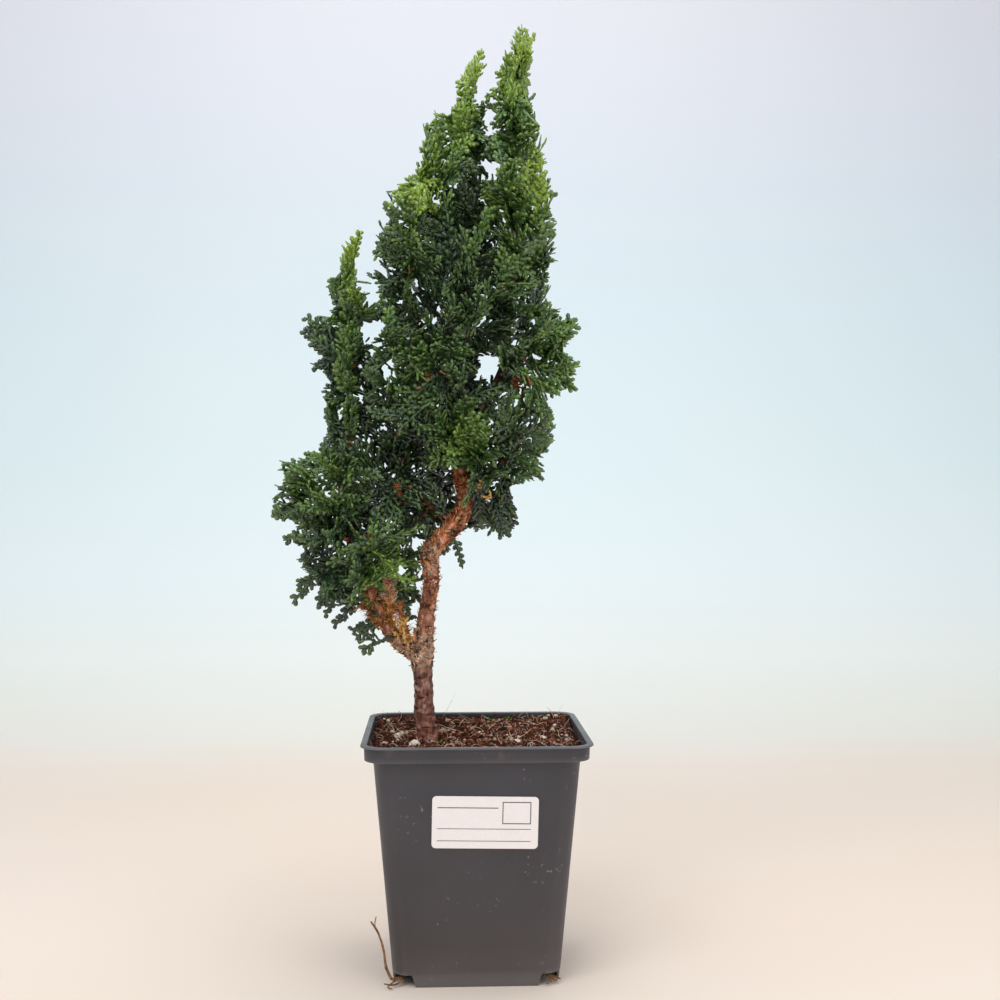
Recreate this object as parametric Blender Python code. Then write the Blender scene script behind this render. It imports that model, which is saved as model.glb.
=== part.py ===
# Hinoki cypress bonsai in a square plastic nursery pot.
# Sizes and places are in millimetres, and become metres when an object is made.
# The pot stands on z = 0, the trunk's foot is over the origin, and +Y points away from the viewer.

import math

import bmesh
import bpy
import numpy as np
from mathutils.bvhtree import BVHTree
from mathutils.geometry import tessellate_polygon

MM = 0.001
SEAT = 0.3               # gap kept between pieces that touch
SEED = 11
FLAT_ANGLE = math.radians(0.3)    # faces of a joined piece that differ by less become one

# Pot
POT_X = 25.0             # pot's centre, to the right of the trunk's foot
POT_HEIGHT = 116.0
FLANGE_WIDTH = 110.0
COLLAR_WIDTH = 106.4
COLLAR_LOW = 108.4       # the step under the collar
SHOULDER_WIDTH = 98.4    # top of the tapered wall
SHOULDER_Z = 108.0
FOOT_WIDTH = 79.4
FLOOR_TOP = 6.4
FLOOR_THICKNESS = 1.2
WALL = 1.1
FLANGE_THICKNESS = 1.0
EDGE = 0.4               # half the width of a softened edge
CORNER_RADIUS = 10.0
CORNER_STEPS = 4
TAB_WIDTH_LOW = 57.6     # foot tab in the middle of each side
TAB_WIDTH_HIGH = 61.7
TAB_HEIGHT = 6.0
CUT_LOW = 3.0            # the drain holes' cutters start here and end above the floor
CORNER_DRAIN_REACH = 36.5
MIDDLE_DRAIN_RADIUS = 5.0
ROUND_SIDES = 16
LUG_WIDTH = 1.8
LUG_DEPTH = 1.4
LUG_TOP = COLLAR_LOW + 5.0

# Label
LABEL_SIZE = (50.0, 25.0)
LABEL_THICKNESS = 0.4
LABEL_RADIUS = 2.0
LABEL_X = 3.6            # from the pot's centre
LABEL_Z = 79.6
LABEL_TURN = 1.1         # degrees clockwise

# Soil
SOIL_LEVEL = 109.6
SOIL_ROUGHNESS = 0.9
SOIL_RING_WIDTHS = (95.0, 80.0, 62.0, 44.0, 26.0, 10.0)
TRUNK_HOLE_HEIGHT = 25.0
TRUNK_HOLE_SIDES = 12
GRAIN_RISE = 0.5
GRAINS = {               # pale grains on the soil: x, y and radius
    "perlite_front": (-5.0, -12.0, 2.6),
    "perlite_left": (-14.0, 12.0, 2.0),
    "perlite_back": (-19.0, 37.0, 1.7),
    "perlite_right": (47.0, 21.0, 1.8),
}

# Roots that come out of the two front drain corners: middle line and radius, as x, y, z, r
ROOT_SIDES = 5
ROOTS = {
    "root_strand_left": [
        (-8.5, -33.0, 5.2, 0.9), (-12.5, -37.5, 4.0, 0.8), (-15.5, -42.0, 5.5, 0.7),
        (-18.0, -43.5, 12.0, 0.6), (-19.0, -45.0, 20.0, 0.55), (-21.5, -45.5, 28.0, 0.5),
        (-25.0, -44.0, 33.0, 0.45),
    ],
    "root_stub_right": [(57.5, -33.0, 5.2, 1.0), (60.0, -36.5, 3.6, 0.9), (63.0, -39.0, 2.6, 0.7)],
}

# Wood: each limb's middle line and radius, as x, y, z, r
TRUNK_SIDES = 9
LIMB_SIDES = 5
KNOBBLE = 0.10           # how uneven the bark is, as a share of the radius
ASIDE = (0.31, 0.95, 0.05)    # a direction that no limb follows
LIMBS = {
    "trunk": [
        (0, 2, 99, 6.3), (0, 2, 111, 6.5), (-0.5, 1.5, 122, 5.4), (-0.8, 1, 138, 5.0), (-1.5, 0, 153, 5.6),
        (0, 0, 163, 4.8), (2.5, 0, 181, 4.2), (3.5, 0, 201, 4.2), (6, 0, 209, 4.4), (12.5, 1, 218, 4.4),
        (18, 2, 231, 4.2), (17.5, 3, 246, 3.6), (18.6, 4, 271, 3.0), (21.6, 6, 317, 2.2), (20.6, 5, 362, 1.6),
        (18, 3, 397, 1.3), (19.5, 2, 422, 1.1), (24, 1, 438, 0.9),
    ],
    "right_leader": [
        (17.8, 3, 248, 2.8), (27, -1, 276, 2.4), (39, -4, 308, 2.0), (45, -5, 352, 1.6), (45, -4, 392, 1.3),
        (44, -3, 422, 1.1), (46.5, -2, 447, 0.9),
    ],
    "left_shoulder": [
        (17.8, 3, 244, 2.4), (8, 0, 268, 2.0), (-3, -3, 295, 1.7), (-8, -4, 331, 1.3), (-6, -3, 364, 1.1),
        (1, -2, 390, 0.9),
    ],
    "back_limb": [
        (18, 3, 250, 2.3), (18, 16, 274, 2.0), (19, 25, 310, 1.6), (21, 25, 352, 1.1),
    ],
    "right_side_limb": [
        (37, -3, 303, 1.7), (46, -7, 306, 1.4), (53, -9, 310, 1.1),
    ],
    "front_limb": [
        (17.8, 3, 242, 2.2), (19, -12, 262, 1.9), (17, -22, 292, 1.5), (13, -23, 334, 1.0),
    ],
    "low_right_limb": [
        (18, 2, 236, 2.2), (30, -2, 242, 1.9), (39, -4, 250, 1.5), (45, -5, 260, 1.1),
    ],
    "low_left_limb": [
        (14, 1, 221, 2.0), (3, 3, 228, 1.7), (-9, 5, 240, 1.4), (-14, 5, 262, 1.0),
    ],
    "left_branch": [
        (-1.5, 0, 152, 3.6), (-11, -1, 160, 3.6), (-18.5, -3, 174, 3.3), (-25, -5, 183, 3.0),
        (-30.5, -6, 194, 2.6), (-35, -6, 216, 2.3), (-37.5, -6, 241, 2.0), (-37.5, -5, 281, 1.6),
        (-36.5, -3, 317, 1.2), (-35.5, -2, 340, 0.9),
    ],
    "left_side_limb": [
        (-34, -6, 208, 1.9), (-43, -9, 216, 1.6), (-54, -10, 225, 1.2),
    ],
    "left_back_limb": [
        (-36, -6, 222, 1.8), (-42, 5, 238, 1.5), (-45, 12, 262, 1.1),
    ],
}

# Leafy shoots: how many on each limb, over which part of it, and, at its low and high end, their length,
# how far they lean upward and the length of their fronds
SHOOTS = {
    "trunk": dict(count=6, part=(0.58, 1.0), reach=(44, 12), up=(0.5, 0.5), frond=(40, 21)),
    "right_leader": dict(count=7, part=(0.16, 1.0), reach=(46, 12), up=(0.3, 0.5), frond=(40, 20)),
    "right_side_limb": dict(count=2, part=(0.60, 1.0), reach=(30, 14), up=(-0.6, 0.3), frond=(34, 25)),
    "left_shoulder": dict(count=5, part=(0.34, 1.0), reach=(40, 14), up=(0.4, 0.6), frond=(38, 24)),
    "back_limb": dict(count=3, part=(0.30, 1.0), reach=(40, 24), up=(0.2, 0.6), frond=(40, 32)),
    "front_limb": dict(count=4, part=(0.30, 1.0), reach=(38, 24), up=(0.2, 0.5), frond=(39, 30)),
    "low_right_limb": dict(count=4, part=(0.20, 1.0), reach=(36, 20), up=(-1.2, 0.3), frond=(37, 29)),
    "low_left_limb": dict(count=3, part=(0.30, 1.0), reach=(30, 24), up=(-0.5, 0.5), frond=(36, 30)),
    "left_branch": dict(count=9, part=(0.14, 1.0), reach=(38, 12), up=(0.0, 0.5), frond=(36, 19)),
    "left_side_limb": dict(count=3, part=(0.10, 1.0), reach=(34, 16), up=(-0.5, 0.2), frond=(35, 28)),
    "left_back_limb": dict(count=2, part=(0.55, 1.0), reach=(30, 24), up=(0.2, 0.4), frond=(36, 30)),
}
TURN = 137.5             # degrees from each shoot round to the next
LIMB_TURN = 40.0         # and from each limb's first shoot to the next limb's
RETRY_TURN = 29.0        # how far a shoot that meets others is turned for its next try
RETRY_TURNS = 10
SHRINKS = (1.0, 0.8, 0.6)     # a piece that finds no room is tried smaller
ALONG = 0.4              # how far a shoot leans along its limb
TIP_LEAN = 0.12          # how far a limb's last shoot leans off its line
STALK_FROM_AXIS = 1.12   # a stalk starts this many limb radii from the limb's middle line
SHORTEST_STALK = 3.0
GUARD = 1.3 * SEAT       # clearance that a new frond must have all round
FRONDS = 3               # one that ends the shoot, the others at its sides
FROND_TRIES = 24
FACING_WEIGHT = 12.0     # how much a frond's facing outward counts, beside its room in millimetres
IN_CROWN = 0.92          # share of a frond's points that must lie inside the crown
BLADE_THICKNESS = 0.9
BLADE_CUP = 0.45         # how strongly a frond's sides curve back
BLADE_BEND = 0.22        # how strongly its tip curves back
FINGER_LEAN = 46.0       # degrees from the frond's rib
FINGERS = (0.56, 0.42)   # the fingers' lengths on each side, as a share of the frond's
FIRST_FINGERS = (0.12, 0.24)  # where the first finger starts on each side
FINGER_STEP = 0.28       # from each finger to the next, as a share too
FINGER_HALF = 0.085
RIB_HALF = 0.07
STALK_HALF = 0.034
STALK_SPANS = 2
STALK_POINTS = 7
ROOT_SHARE = 0.2         # the first part of a side frond, which may touch its own shoot

# Crown seen from VIEWER, in the plane y = 0: x at each height, and gaps that show the light
VIEWER = (6.5, -687.0, 228.6)
CROWN_LEFT = [
    (150, -34), (160, -36), (175, -50), (190, -68), (208, -72), (221, -81), (236, -80), (250, -75), (262, -54),
    (281, -51), (300, -57), (310, -62), (322, -62), (333, -49), (342, -50), (352, -45), (365, -38),
    (370, -23), (392, -13), (407, -4), (422, 0), (440, 12), (453, 15), (456, 38), (470, 44),
]
CROWN_RIGHT = [
    (150, -18), (163, -8), (180, 0), (206, 10), (210, 44), (220, 50), (236, 53), (246, 61), (262, 68),
    (282, 70), (290, 79), (318, 78), (330, 66), (392, 65), (407, 62), (440, 59), (456, 58), (470, 56),
]
CROWN_DEPTH = 104.0
MASS_AXES = [(18.0, 2.0), (-38.0, -3.0)]    # where the main mass and the left one stand
CROWN_GAPS = [           # lowest and highest x, lowest and highest z
    (25, 36, 290, 304),
    (-32.5, -27, 335, 368),
    (31.5, 35.5, 402, 440),
]


def material(name, colour, roughness):
    made = bpy.data.materials.new(name)
    made.use_nodes = True
    shader = made.node_tree.nodes["Principled BSDF"]
    shader.inputs["Base Color"].default_value = (*colour, 1.0)
    shader.inputs["Roughness"].default_value = roughness
    return made


def add_object(name, points, faces, surface, parent=None):
    """Object of a mesh given in millimetres, with its faces turned outward."""
    mesh = bpy.data.meshes.new(name)
    mesh.from_pydata((np.asarray(points) * MM).tolist(), [], faces)
    work = bmesh.new()
    work.from_mesh(mesh)
    bmesh.ops.recalc_face_normals(work, faces=work.faces)
    work.to_mesh(mesh)
    work.free()
    mesh.materials.append(surface)
    made = bpy.data.objects.new(name, mesh)
    bpy.context.scene.collection.objects.link(made)
    made.parent = parent
    return made


def apply_boolean(target, others, operation, solver="EXACT"):
    """Joins the other objects to the target, or cuts them out of it, and removes them."""
    group = bpy.data.collections.new(target.name + "_parts")
    bpy.context.scene.collection.children.link(group)
    for other in others:
        bpy.context.scene.collection.objects.unlink(other)
        group.objects.link(other)
    boolean = target.modifiers.new("Boolean", "BOOLEAN")
    boolean.operation = operation
    boolean.operand_type = "COLLECTION"
    boolean.collection = group
    boolean.solver = solver
    graph = bpy.context.evaluated_depsgraph_get()
    result = bpy.data.meshes.new_from_object(target.evaluated_get(graph))
    target.modifiers.clear()
    target.data = result
    work = bmesh.new()
    work.from_mesh(result)
    bmesh.ops.dissolve_limit(work, angle_limit=FLAT_ANGLE, verts=work.verts, edges=work.edges)
    work.to_mesh(result)
    work.free()
    for other in others:
        bpy.data.objects.remove(other)
    bpy.data.collections.remove(group)


def rings_to_solid(rings):
    """Points and faces of a closed skin over rings that have the same number of points."""
    count = len(rings[0])
    points = np.vstack(rings)
    faces = []
    for low in range(len(rings) - 1):
        for i in range(count):
            j = (i + 1) % count
            a, b = low * count, (low + 1) * count
            faces.append((a + i, a + j, b + j, b + i))
    faces.append(tuple(range(count))[::-1])
    faces.append(tuple(range(len(points) - count, len(points))))
    return points, faces


def smooth_path(points, steps):
    """Points on a smooth curve through the given ones, with the same number of steps to each span."""
    p = np.array(points, float)
    p = np.vstack([2 * p[0] - p[1], p, 2 * p[-1] - p[-2]])
    t = np.arange(steps)[:, None] / steps
    spans = []
    for a, b, c, d in zip(p, p[1:], p[2:], p[3:]):
        bend = (2 * a - 5 * b + 4 * c - d) * t**2 + (3 * b - a - 3 * c + d) * t**3
        spans.append(0.5 * (2 * b + (c - a) * t + bend))
    return np.vstack(spans + [p[-2:-1]])


def unit(vector):
    return vector / np.linalg.norm(vector)


def tube(path, radii, sides, roughness=0.0, rng=None):
    """Rings round a path, which carry one side direction along it so that they don't twist."""
    tangents = np.gradient(path, axis=0)
    side = unit(np.cross(tangents[0], ASIDE))
    angles = 2 * math.pi * np.arange(sides) / sides
    rings = []
    for point, tangent, radius in zip(path, tangents, radii):
        tangent = unit(tangent)
        side = unit(side - tangent * (side @ tangent))
        other = np.cross(tangent, side)
        spread = np.full(sides, radius)
        if rng:
            spread *= 1 + roughness * rng.uniform(-1, 1, sides)
        ring = np.outer(spread * np.cos(angles), side) + np.outer(spread * np.sin(angles), other)
        rings.append(point + ring)
    return rings_to_solid(rings)


def rounded_square(width, z, radius=CORNER_RADIUS):
    """Ring of points round the pot's middle line."""
    half = width / 2
    radius = min(radius, half)
    points = []
    for corner in range(4):
        for step in range(CORNER_STEPS + 1):
            angle = math.pi / 2 * (corner + step / CORNER_STEPS)
            middle = math.pi / 2 * (corner + 0.5)
            inset = (half - radius) * math.sqrt(2)
            points.append((
                POT_X + inset * math.cos(middle) + radius * math.cos(angle),
                inset * math.sin(middle) + radius * math.sin(angle),
                z,
            ))
    return np.array(points)


def wall_width(z):
    """Outer width of the pot's tapered wall at a height."""
    return FOOT_WIDTH + (SHOULDER_WIDTH - FOOT_WIDTH) * z / SHOULDER_Z


def corner_block(low, high, corner):
    """Block at one corner of the pot, from the two lower x, y places and z to the two upper ones."""
    c, s = math.cos(math.pi / 2 * corner), math.sin(math.pi / 2 * corner)
    rings = []
    for (x0, y0, x1, y1), z in (low, high):
        ring = np.array([(x0, y0), (x1, y0), (x1, y1), (x0, y1)]) @ np.array([(c, s), (-s, c)])
        rings.append(np.column_stack([ring[:, 0] + POT_X, ring[:, 1], np.full(4, z)]))
    return rings_to_solid(rings)


def corner_cutter(corner):
    """Wedge that leaves the slanted ends of two foot tabs."""
    ends = []
    for z in (-1.0, TAB_HEIGHT):
        edge = (TAB_WIDTH_LOW + (TAB_WIDTH_HIGH - TAB_WIDTH_LOW) * z / TAB_HEIGHT) / 2
        ends.append(((edge, edge, FOOT_WIDTH, FOOT_WIDTH), z))
    return corner_block(*ends, corner)


def drain_cutter(corner):
    """Square hole in the floor, behind the cut corner."""
    place = (TAB_WIDTH_HIGH / 2, TAB_WIDTH_HIGH / 2, CORNER_DRAIN_REACH, CORNER_DRAIN_REACH)
    return corner_block((place, CUT_LOW), (place, FLOOR_TOP + 1), corner)


def lug_mesh(corner):
    """Small upright lug inside the collar, beside its rounded corner."""
    out = COLLAR_WIDTH / 2 - WALL
    across = out - CORNER_RADIUS - 3
    place = (across, out - LUG_DEPTH, across + LUG_WIDTH, out + WALL / 3)
    return corner_block((place, COLLAR_LOW + WALL), (place, LUG_TOP), corner)


def make_pot(surface, parent):
    """Thin wall with a stepped collar, a raised floor with drain holes, and four foot tabs."""
    inner_collar = COLLAR_WIDTH - 2 * WALL
    profile = [
        (wall_width(FLOOR_TOP - FLOOR_THICKNESS) - 2 * WALL, FLOOR_TOP - FLOOR_THICKNESS),
        (FOOT_WIDTH - 2 * WALL, 0.0),
        (FOOT_WIDTH, 0.0),
        (SHOULDER_WIDTH, SHOULDER_Z),
        (COLLAR_WIDTH - 2 * EDGE, COLLAR_LOW),
        (COLLAR_WIDTH, COLLAR_LOW + EDGE),
        (COLLAR_WIDTH + EDGE, POT_HEIGHT - FLANGE_THICKNESS - EDGE),
        (FLANGE_WIDTH, POT_HEIGHT - FLANGE_THICKNESS),
        (FLANGE_WIDTH, POT_HEIGHT - EDGE),
        (FLANGE_WIDTH - 2 * EDGE, POT_HEIGHT),
        (inner_collar + 2 * EDGE, POT_HEIGHT),
        (inner_collar, POT_HEIGHT - EDGE),
        (inner_collar, COLLAR_LOW + WALL),
        (SHOULDER_WIDTH - 2 * WALL, COLLAR_LOW + EDGE),
        (wall_width(FLOOR_TOP) - 2 * WALL, FLOOR_TOP),
    ]
    rings = [rounded_square(width, z, CORNER_RADIUS * width / SHOULDER_WIDTH) for width, z in profile]
    pot = add_object("pot", *rings_to_solid(rings), surface, parent)
    apply_boolean(pot, [add_object("lug", *lug_mesh(corner), surface) for corner in range(4)], "UNION")
    cutters = [add_object("corner", *corner_cutter(corner), surface) for corner in range(4)]
    cutters += [add_object("drain", *drain_cutter(corner), surface) for corner in range(4)]
    angles = 2 * math.pi * np.arange(ROUND_SIDES) / ROUND_SIDES
    circle = np.column_stack([np.cos(angles), np.sin(angles)]) * MIDDLE_DRAIN_RADIUS + (POT_X, 0)
    rings = [np.column_stack([circle, np.full(ROUND_SIDES, z)]) for z in (CUT_LOW, FLOOR_TOP + 1)]
    cutters.append(add_object("middle_drain", *rings_to_solid(rings), surface))
    apply_boolean(pot, cutters, "DIFFERENCE")


def make_label(surface, parent):
    """Rounded paper rectangle that lies against the pot's front wall."""
    lean = math.atan((SHOULDER_WIDTH - FOOT_WIDTH) / 2 / SHOULDER_Z)
    turn = math.radians(-LABEL_TURN)
    half_w, half_h = LABEL_SIZE[0] / 2 - LABEL_RADIUS, LABEL_SIZE[1] / 2 - LABEL_RADIUS
    outline = []
    for corner, (sx, sz) in enumerate([(1, 1), (-1, 1), (-1, -1), (1, -1)]):
        for step in range(CORNER_STEPS):
            angle = math.pi / 2 * (corner + step / (CORNER_STEPS - 1))
            outline.append((
                sx * half_w + LABEL_RADIUS * math.cos(angle),
                sz * half_h + LABEL_RADIUS * math.sin(angle),
            ))
    c, s = math.cos(turn), math.sin(turn)
    outline = np.array(outline) @ np.array([(c, s), (-s, c)])
    rings = []
    for out in (SEAT, SEAT + LABEL_THICKNESS):
        up = outline[:, 1] * math.cos(lean) - out * math.sin(lean)
        back = outline[:, 1] * math.sin(lean) + out * math.cos(lean)
        x = POT_X + LABEL_X + outline[:, 0]
        y = -wall_width(LABEL_Z) / 2 - back
        rings.append(np.column_stack([x, y, LABEL_Z + up]))
    add_object("label", *rings_to_solid(rings), surface, parent)


def soil_height(x, y, rng):
    """Height of the peat: a low swell toward the back and right, with crumbs."""
    dx, dy = (x - POT_X) / 50, y / 50
    swell = 0.9 * dy + 0.5 * dx + 0.5 * math.sin(3.1 * dx + 1) * math.cos(2.7 * dy)
    return SOIL_LEVEL + swell + SOIL_ROUGHNESS * rng.uniform(-1, 1)


def make_soil(surface, parent):
    """Block of peat that fills the pot, with a plain hole for the trunk."""
    rng = np.random.default_rng(SEED)
    ledge = COLLAR_LOW + EDGE
    inner = 2 * (WALL + SEAT)
    profile = [
        (wall_width(FLOOR_TOP) - inner, FLOOR_TOP + SEAT),
        (SHOULDER_WIDTH - inner, ledge),
    ]
    rings = [rounded_square(width, z, CORNER_RADIUS * width / SHOULDER_WIDTH) for width, z in profile]
    for width in SOIL_RING_WIDTHS:
        ring = rounded_square(width, 0.0)
        ring[:, 2] = [max(soil_height(x, y, rng), ledge) for x, y, _ in ring]
        rings.append(ring)
    soil = add_object("soil", *rings_to_solid(rings), surface, parent)
    work = bmesh.new()
    work.from_mesh(soil.data)
    bmesh.ops.triangulate(work, faces=work.faces)
    work.to_mesh(soil.data)
    work.free()
    foot = np.array(LIMBS["trunk"][0][:3], float)
    path = np.array([foot - (0, 0, SEAT), foot + (0, 0, TRUNK_HOLE_HEIGHT)])
    radius = LIMBS["trunk"][1][3] * (1 + KNOBBLE) + 2 * SEAT
    hole = tube(path, [radius, radius], TRUNK_HOLE_SIDES)
    pockets = [add_object("hole", *hole, surface)]
    for x, y, radius in GRAINS.values():
        pockets.append(add_object("pocket", *grain_mesh(x, y, radius, 2 * SEAT), surface))
    apply_boolean(soil, pockets, "DIFFERENCE")


def grain_mesh(x, y, radius, swell=0.0):
    """Lumpy grain that is half sunk in the soil, swollen for the pocket that it lies in."""
    work = bmesh.new()
    bmesh.ops.create_icosphere(work, subdivisions=1, radius=1.0)
    rng = np.random.default_rng(int(SEED + 10 * radius))
    points = []
    for vertex in work.verts:
        size = radius * rng.uniform(0.82, 1.1) + swell
        points.append(np.array((x, y, SOIL_LEVEL + GRAIN_RISE)) + size * np.array(vertex.co))
    faces = [tuple(v.index for v in face.verts) for face in work.faces]
    work.free()
    return np.array(points), faces


def make_roots(surface, parent):
    for name, points in ROOTS.items():
        line = smooth_path(points, 2)
        add_object(name, *tube(line[:, :3], line[:, 3], ROOT_SIDES), surface, parent)


def limb_lines():
    """Each limb's smooth middle line with its radius, as rows of x, y, z, r."""
    return {name: smooth_path(points, 1 if name == "trunk" else 2) for name, points in LIMBS.items()}


def limb_mesh(name, line):
    rng = np.random.default_rng([SEED, list(LIMBS).index(name)])
    sides = TRUNK_SIDES if name in ("trunk", "left_branch") else LIMB_SIDES
    return tube(line[:, :3], line[:, 3], sides, KNOBBLE, rng)


def make_wood(lines, surface, parent):
    """Trunk and limbs, grown as one piece."""
    meshes = {name: limb_mesh(name, line) for name, line in lines.items()}
    wood = add_object("wood", *meshes["trunk"], surface, parent)
    limbs = [add_object(name, *mesh, surface) for name, mesh in meshes.items() if name != "trunk"]
    apply_boolean(wood, limbs, "UNION", "MANIFOLD")


def share_in_crown(points):
    """Share of the points that lie inside the crown's outline and clear of its gaps, seen by the viewer."""
    eye = np.array(VIEWER)
    flat = eye + (points - eye) * (-eye[1] / (points[:, 1:2] - eye[1]))
    x, z = flat[:, 0], flat[:, 2]
    inside = (x > np.interp(z, *zip(*CROWN_LEFT))) & (x < np.interp(z, *zip(*CROWN_RIGHT)))
    inside &= abs(points[:, 1]) < CROWN_DEPTH / 2
    for low_x, high_x, low_z, high_z in CROWN_GAPS:
        inside &= ~((x > low_x) & (x < high_x) & (z > low_z) & (z < high_z))
    return inside.mean()


def frond_outline():
    """Flat outline of a frond of length 1: a rib with fingers on both sides, set by turns, and a blunt tip."""
    lean = math.radians(FINGER_LEAN)
    right = [(0.0, STALK_HALF)]
    left = [(0.0, -STALK_HALF)]
    for side, outline, first in ((1, right, FIRST_FINGERS[0]), (-1, left, FIRST_FINGERS[1])):
        for i, reach in enumerate(FINGERS):
            at = first + FINGER_STEP * i
            tip = np.array((at + reach * math.cos(lean), side * reach * math.sin(lean)))
            across = FINGER_HALF * np.array((math.sin(lean), -side * math.cos(lean)))
            outline.append(tuple(tip - across))
            outline.append(tuple(tip + across))
            outline.append((at + 0.9 * FINGER_STEP, side * RIB_HALF))
        outline.append((1.0, side * FINGER_HALF * 0.9))
    return np.array([*left, *right[::-1]])


def blade_points(frond, along, across, height):
    """Places on a frond: along its curved stalk and straight rib, across it, and up from its middle layer."""
    stalk, rib = frond["stalk"], frond["direction"]
    steps = np.linalg.norm(np.diff(stalk, axis=0), axis=1)
    place = np.concatenate([[0], np.cumsum(steps)]) - steps.sum()
    middle = np.column_stack([np.interp(along, place, stalk[:, k]) for k in range(3)])
    middle += np.outer(np.maximum(along, 0), rib)
    slopes = np.gradient(stalk, axis=0) if len(stalk) > 1 else np.array([rib])
    slope = np.column_stack([np.interp(along, place, slopes[:, k]) for k in range(3)])
    slope[along >= -1e-6] = rib
    slope /= np.linalg.norm(slope, axis=1)[:, None]
    turn = (slope @ frond["normal"]) / (1 + slope @ rib)
    normal = frond["normal"] - turn[:, None] * (rib + slope)
    side = np.cross(normal, slope)
    return middle + across[:, None] * side + height[:, None] * normal


def frond_mesh(frond, swell=0.0):
    """Thin arched blade, split alike on both faces, and a little larger all over where it keeps a gap."""
    length = frond["length"]
    along, across = ((length + swell) * OUTLINE).T
    across = across * frond["breadth"]
    stalk = frond["stalk"]
    spans = 0
    if len(stalk) > 1:
        spans = STALK_SPANS
        reach = np.linalg.norm(np.diff(stalk, axis=0), axis=1).sum()
        back = np.linspace(0, -reach, spans + 1)[1:]
        half = across[-1]
        along = np.concatenate([along, back, back[::-1]])
        across = np.concatenate([across, np.full(spans, half), np.full(spans, -half)])
    height = -length * (BLADE_CUP * (across / length) ** 2 + BLADE_BEND * np.maximum(along / length, 0) ** 2)
    half = BLADE_THICKNESS / 2 + swell
    points = np.vstack([
        blade_points(frond, along, across, height + half),
        blade_points(frond, along, across, height - half),
    ])
    count = len(along)
    top = list(FACES)
    right, left = count - 2 * spans - 1, count
    for i in range(spans):
        a, b = right + i, (left - i) % count
        top += [(a, a + 1, b), (a + 1, left - i - 1, b)]
    faces = top + [tuple(i + count for i in face[::-1]) for face in top]
    for i in range(count):
        j = (i + 1) % count
        faces += [(i, i + count, j + count), (i, j + count, j)]
    return points, faces


OUTLINE = frond_outline()
FACES = [tuple(face) for face in tessellate_polygon([[(u, v, 0.0) for u, v in OUTLINE]])]


class Clearance:
    """Keeps the pieces placed so far, and says whether a new one would touch any but those it grows from."""

    def __init__(self):
        self.pieces = []

    def add(self, owner, mesh):
        points, faces = mesh
        tree = BVHTree.FromPolygons(points.tolist(), faces)
        self.pieces.append((owner, points.min(0), points.max(0), tree))

    def free(self, mesh, own=None):
        points, faces = mesh
        low, high = points.min(0), points.max(0)
        tree = None
        for owner, other_low, other_high, other_tree in self.pieces:
            if owner == own or (other_low > high).any() or (other_high < low).any():
                continue
            tree = tree or BVHTree.FromPolygons(points.tolist(), faces)
            if tree.overlap(other_tree):
                return False
        return True


def at_fraction(line, fraction):
    """Place, direction and radius at a fraction of a limb's length."""
    steps = np.linalg.norm(np.diff(line[:, :3], axis=0), axis=1)
    place = np.concatenate([[0], np.cumsum(steps)]) / steps.sum()
    here = np.array([np.interp(fraction, place, line[:, k]) for k in range(4)])
    ahead = np.array([np.interp(min(fraction + 0.02, 1), place, line[:, k]) for k in range(3)])
    behind = np.array([np.interp(fraction - 0.02, place, line[:, k]) for k in range(3)])
    return here[:3], unit(ahead - behind), here[3]


def stalk_path(start, out, direction, length, clear):
    """Curved stalk from just off the bark, outward and then along the shoot's direction."""
    first = start + out * clear
    last = start + direction * length
    bend = last - direction * 0.6 * np.linalg.norm(last - first)
    t = np.linspace(0, 1, STALK_POINTS)[:, None]
    return (1 - t) ** 2 * first + 2 * t * (1 - t) * bend + t**2 * last


def aim_shoot(name, line, number):
    """The ways in which one shoot can leave its limb, the one that the turn gives first, and its sizes."""
    spec = SHOOTS[name]
    share = number / (spec["count"] - 1)
    is_tip = number == spec["count"] - 1
    here, tangent, radius = at_fraction(line, np.interp(share, (0, 1), spec["part"]))
    lift = np.array((0, 0, np.interp(share, (0, 1), spec["up"])))
    side = unit(np.cross(tangent, ASIDE))
    other = np.cross(tangent, side)
    off_axis = STALK_FROM_AXIS * radius
    ways = []
    for attempt in range(RETRY_TURNS):
        turn = TURN * number + RETRY_TURN * attempt + LIMB_TURN * list(LIMBS).index(name)
        out = math.cos(math.radians(turn)) * side + math.sin(math.radians(turn)) * other
        if is_tip:
            ways.append((here - tangent * off_axis, tangent, unit(tangent + TIP_LEAN * out)))
        else:
            ways.append((here, out, unit(out + ALONG * tangent + lift)))
    sizes = [np.interp(share, (0, 1), spec[key]) for key in ("reach", "frond")]
    return ways, off_axis + GUARD, sizes


def main_frond(rng, way, clear, sizes, shrink):
    """A draw of the frond that ends a shoot, on its stalk."""
    start, out, direction = way
    reach, length = sizes
    roll = rng.uniform(-math.pi, math.pi)
    flat = unit(np.cross(direction, ASIDE))
    normal = math.cos(roll) * flat + math.sin(roll) * np.cross(direction, flat)
    length = length * rng.uniform(0.92, 1.08) * shrink
    stalk_length = max(reach * shrink - 0.55 * length, clear + SHORTEST_STALK)
    stalk = stalk_path(start, out, direction, stalk_length, clear)
    breadth = rng.uniform(0.9, 1.1)
    return dict(stalk=stalk, direction=direction, normal=normal, length=length, breadth=breadth)


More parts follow.
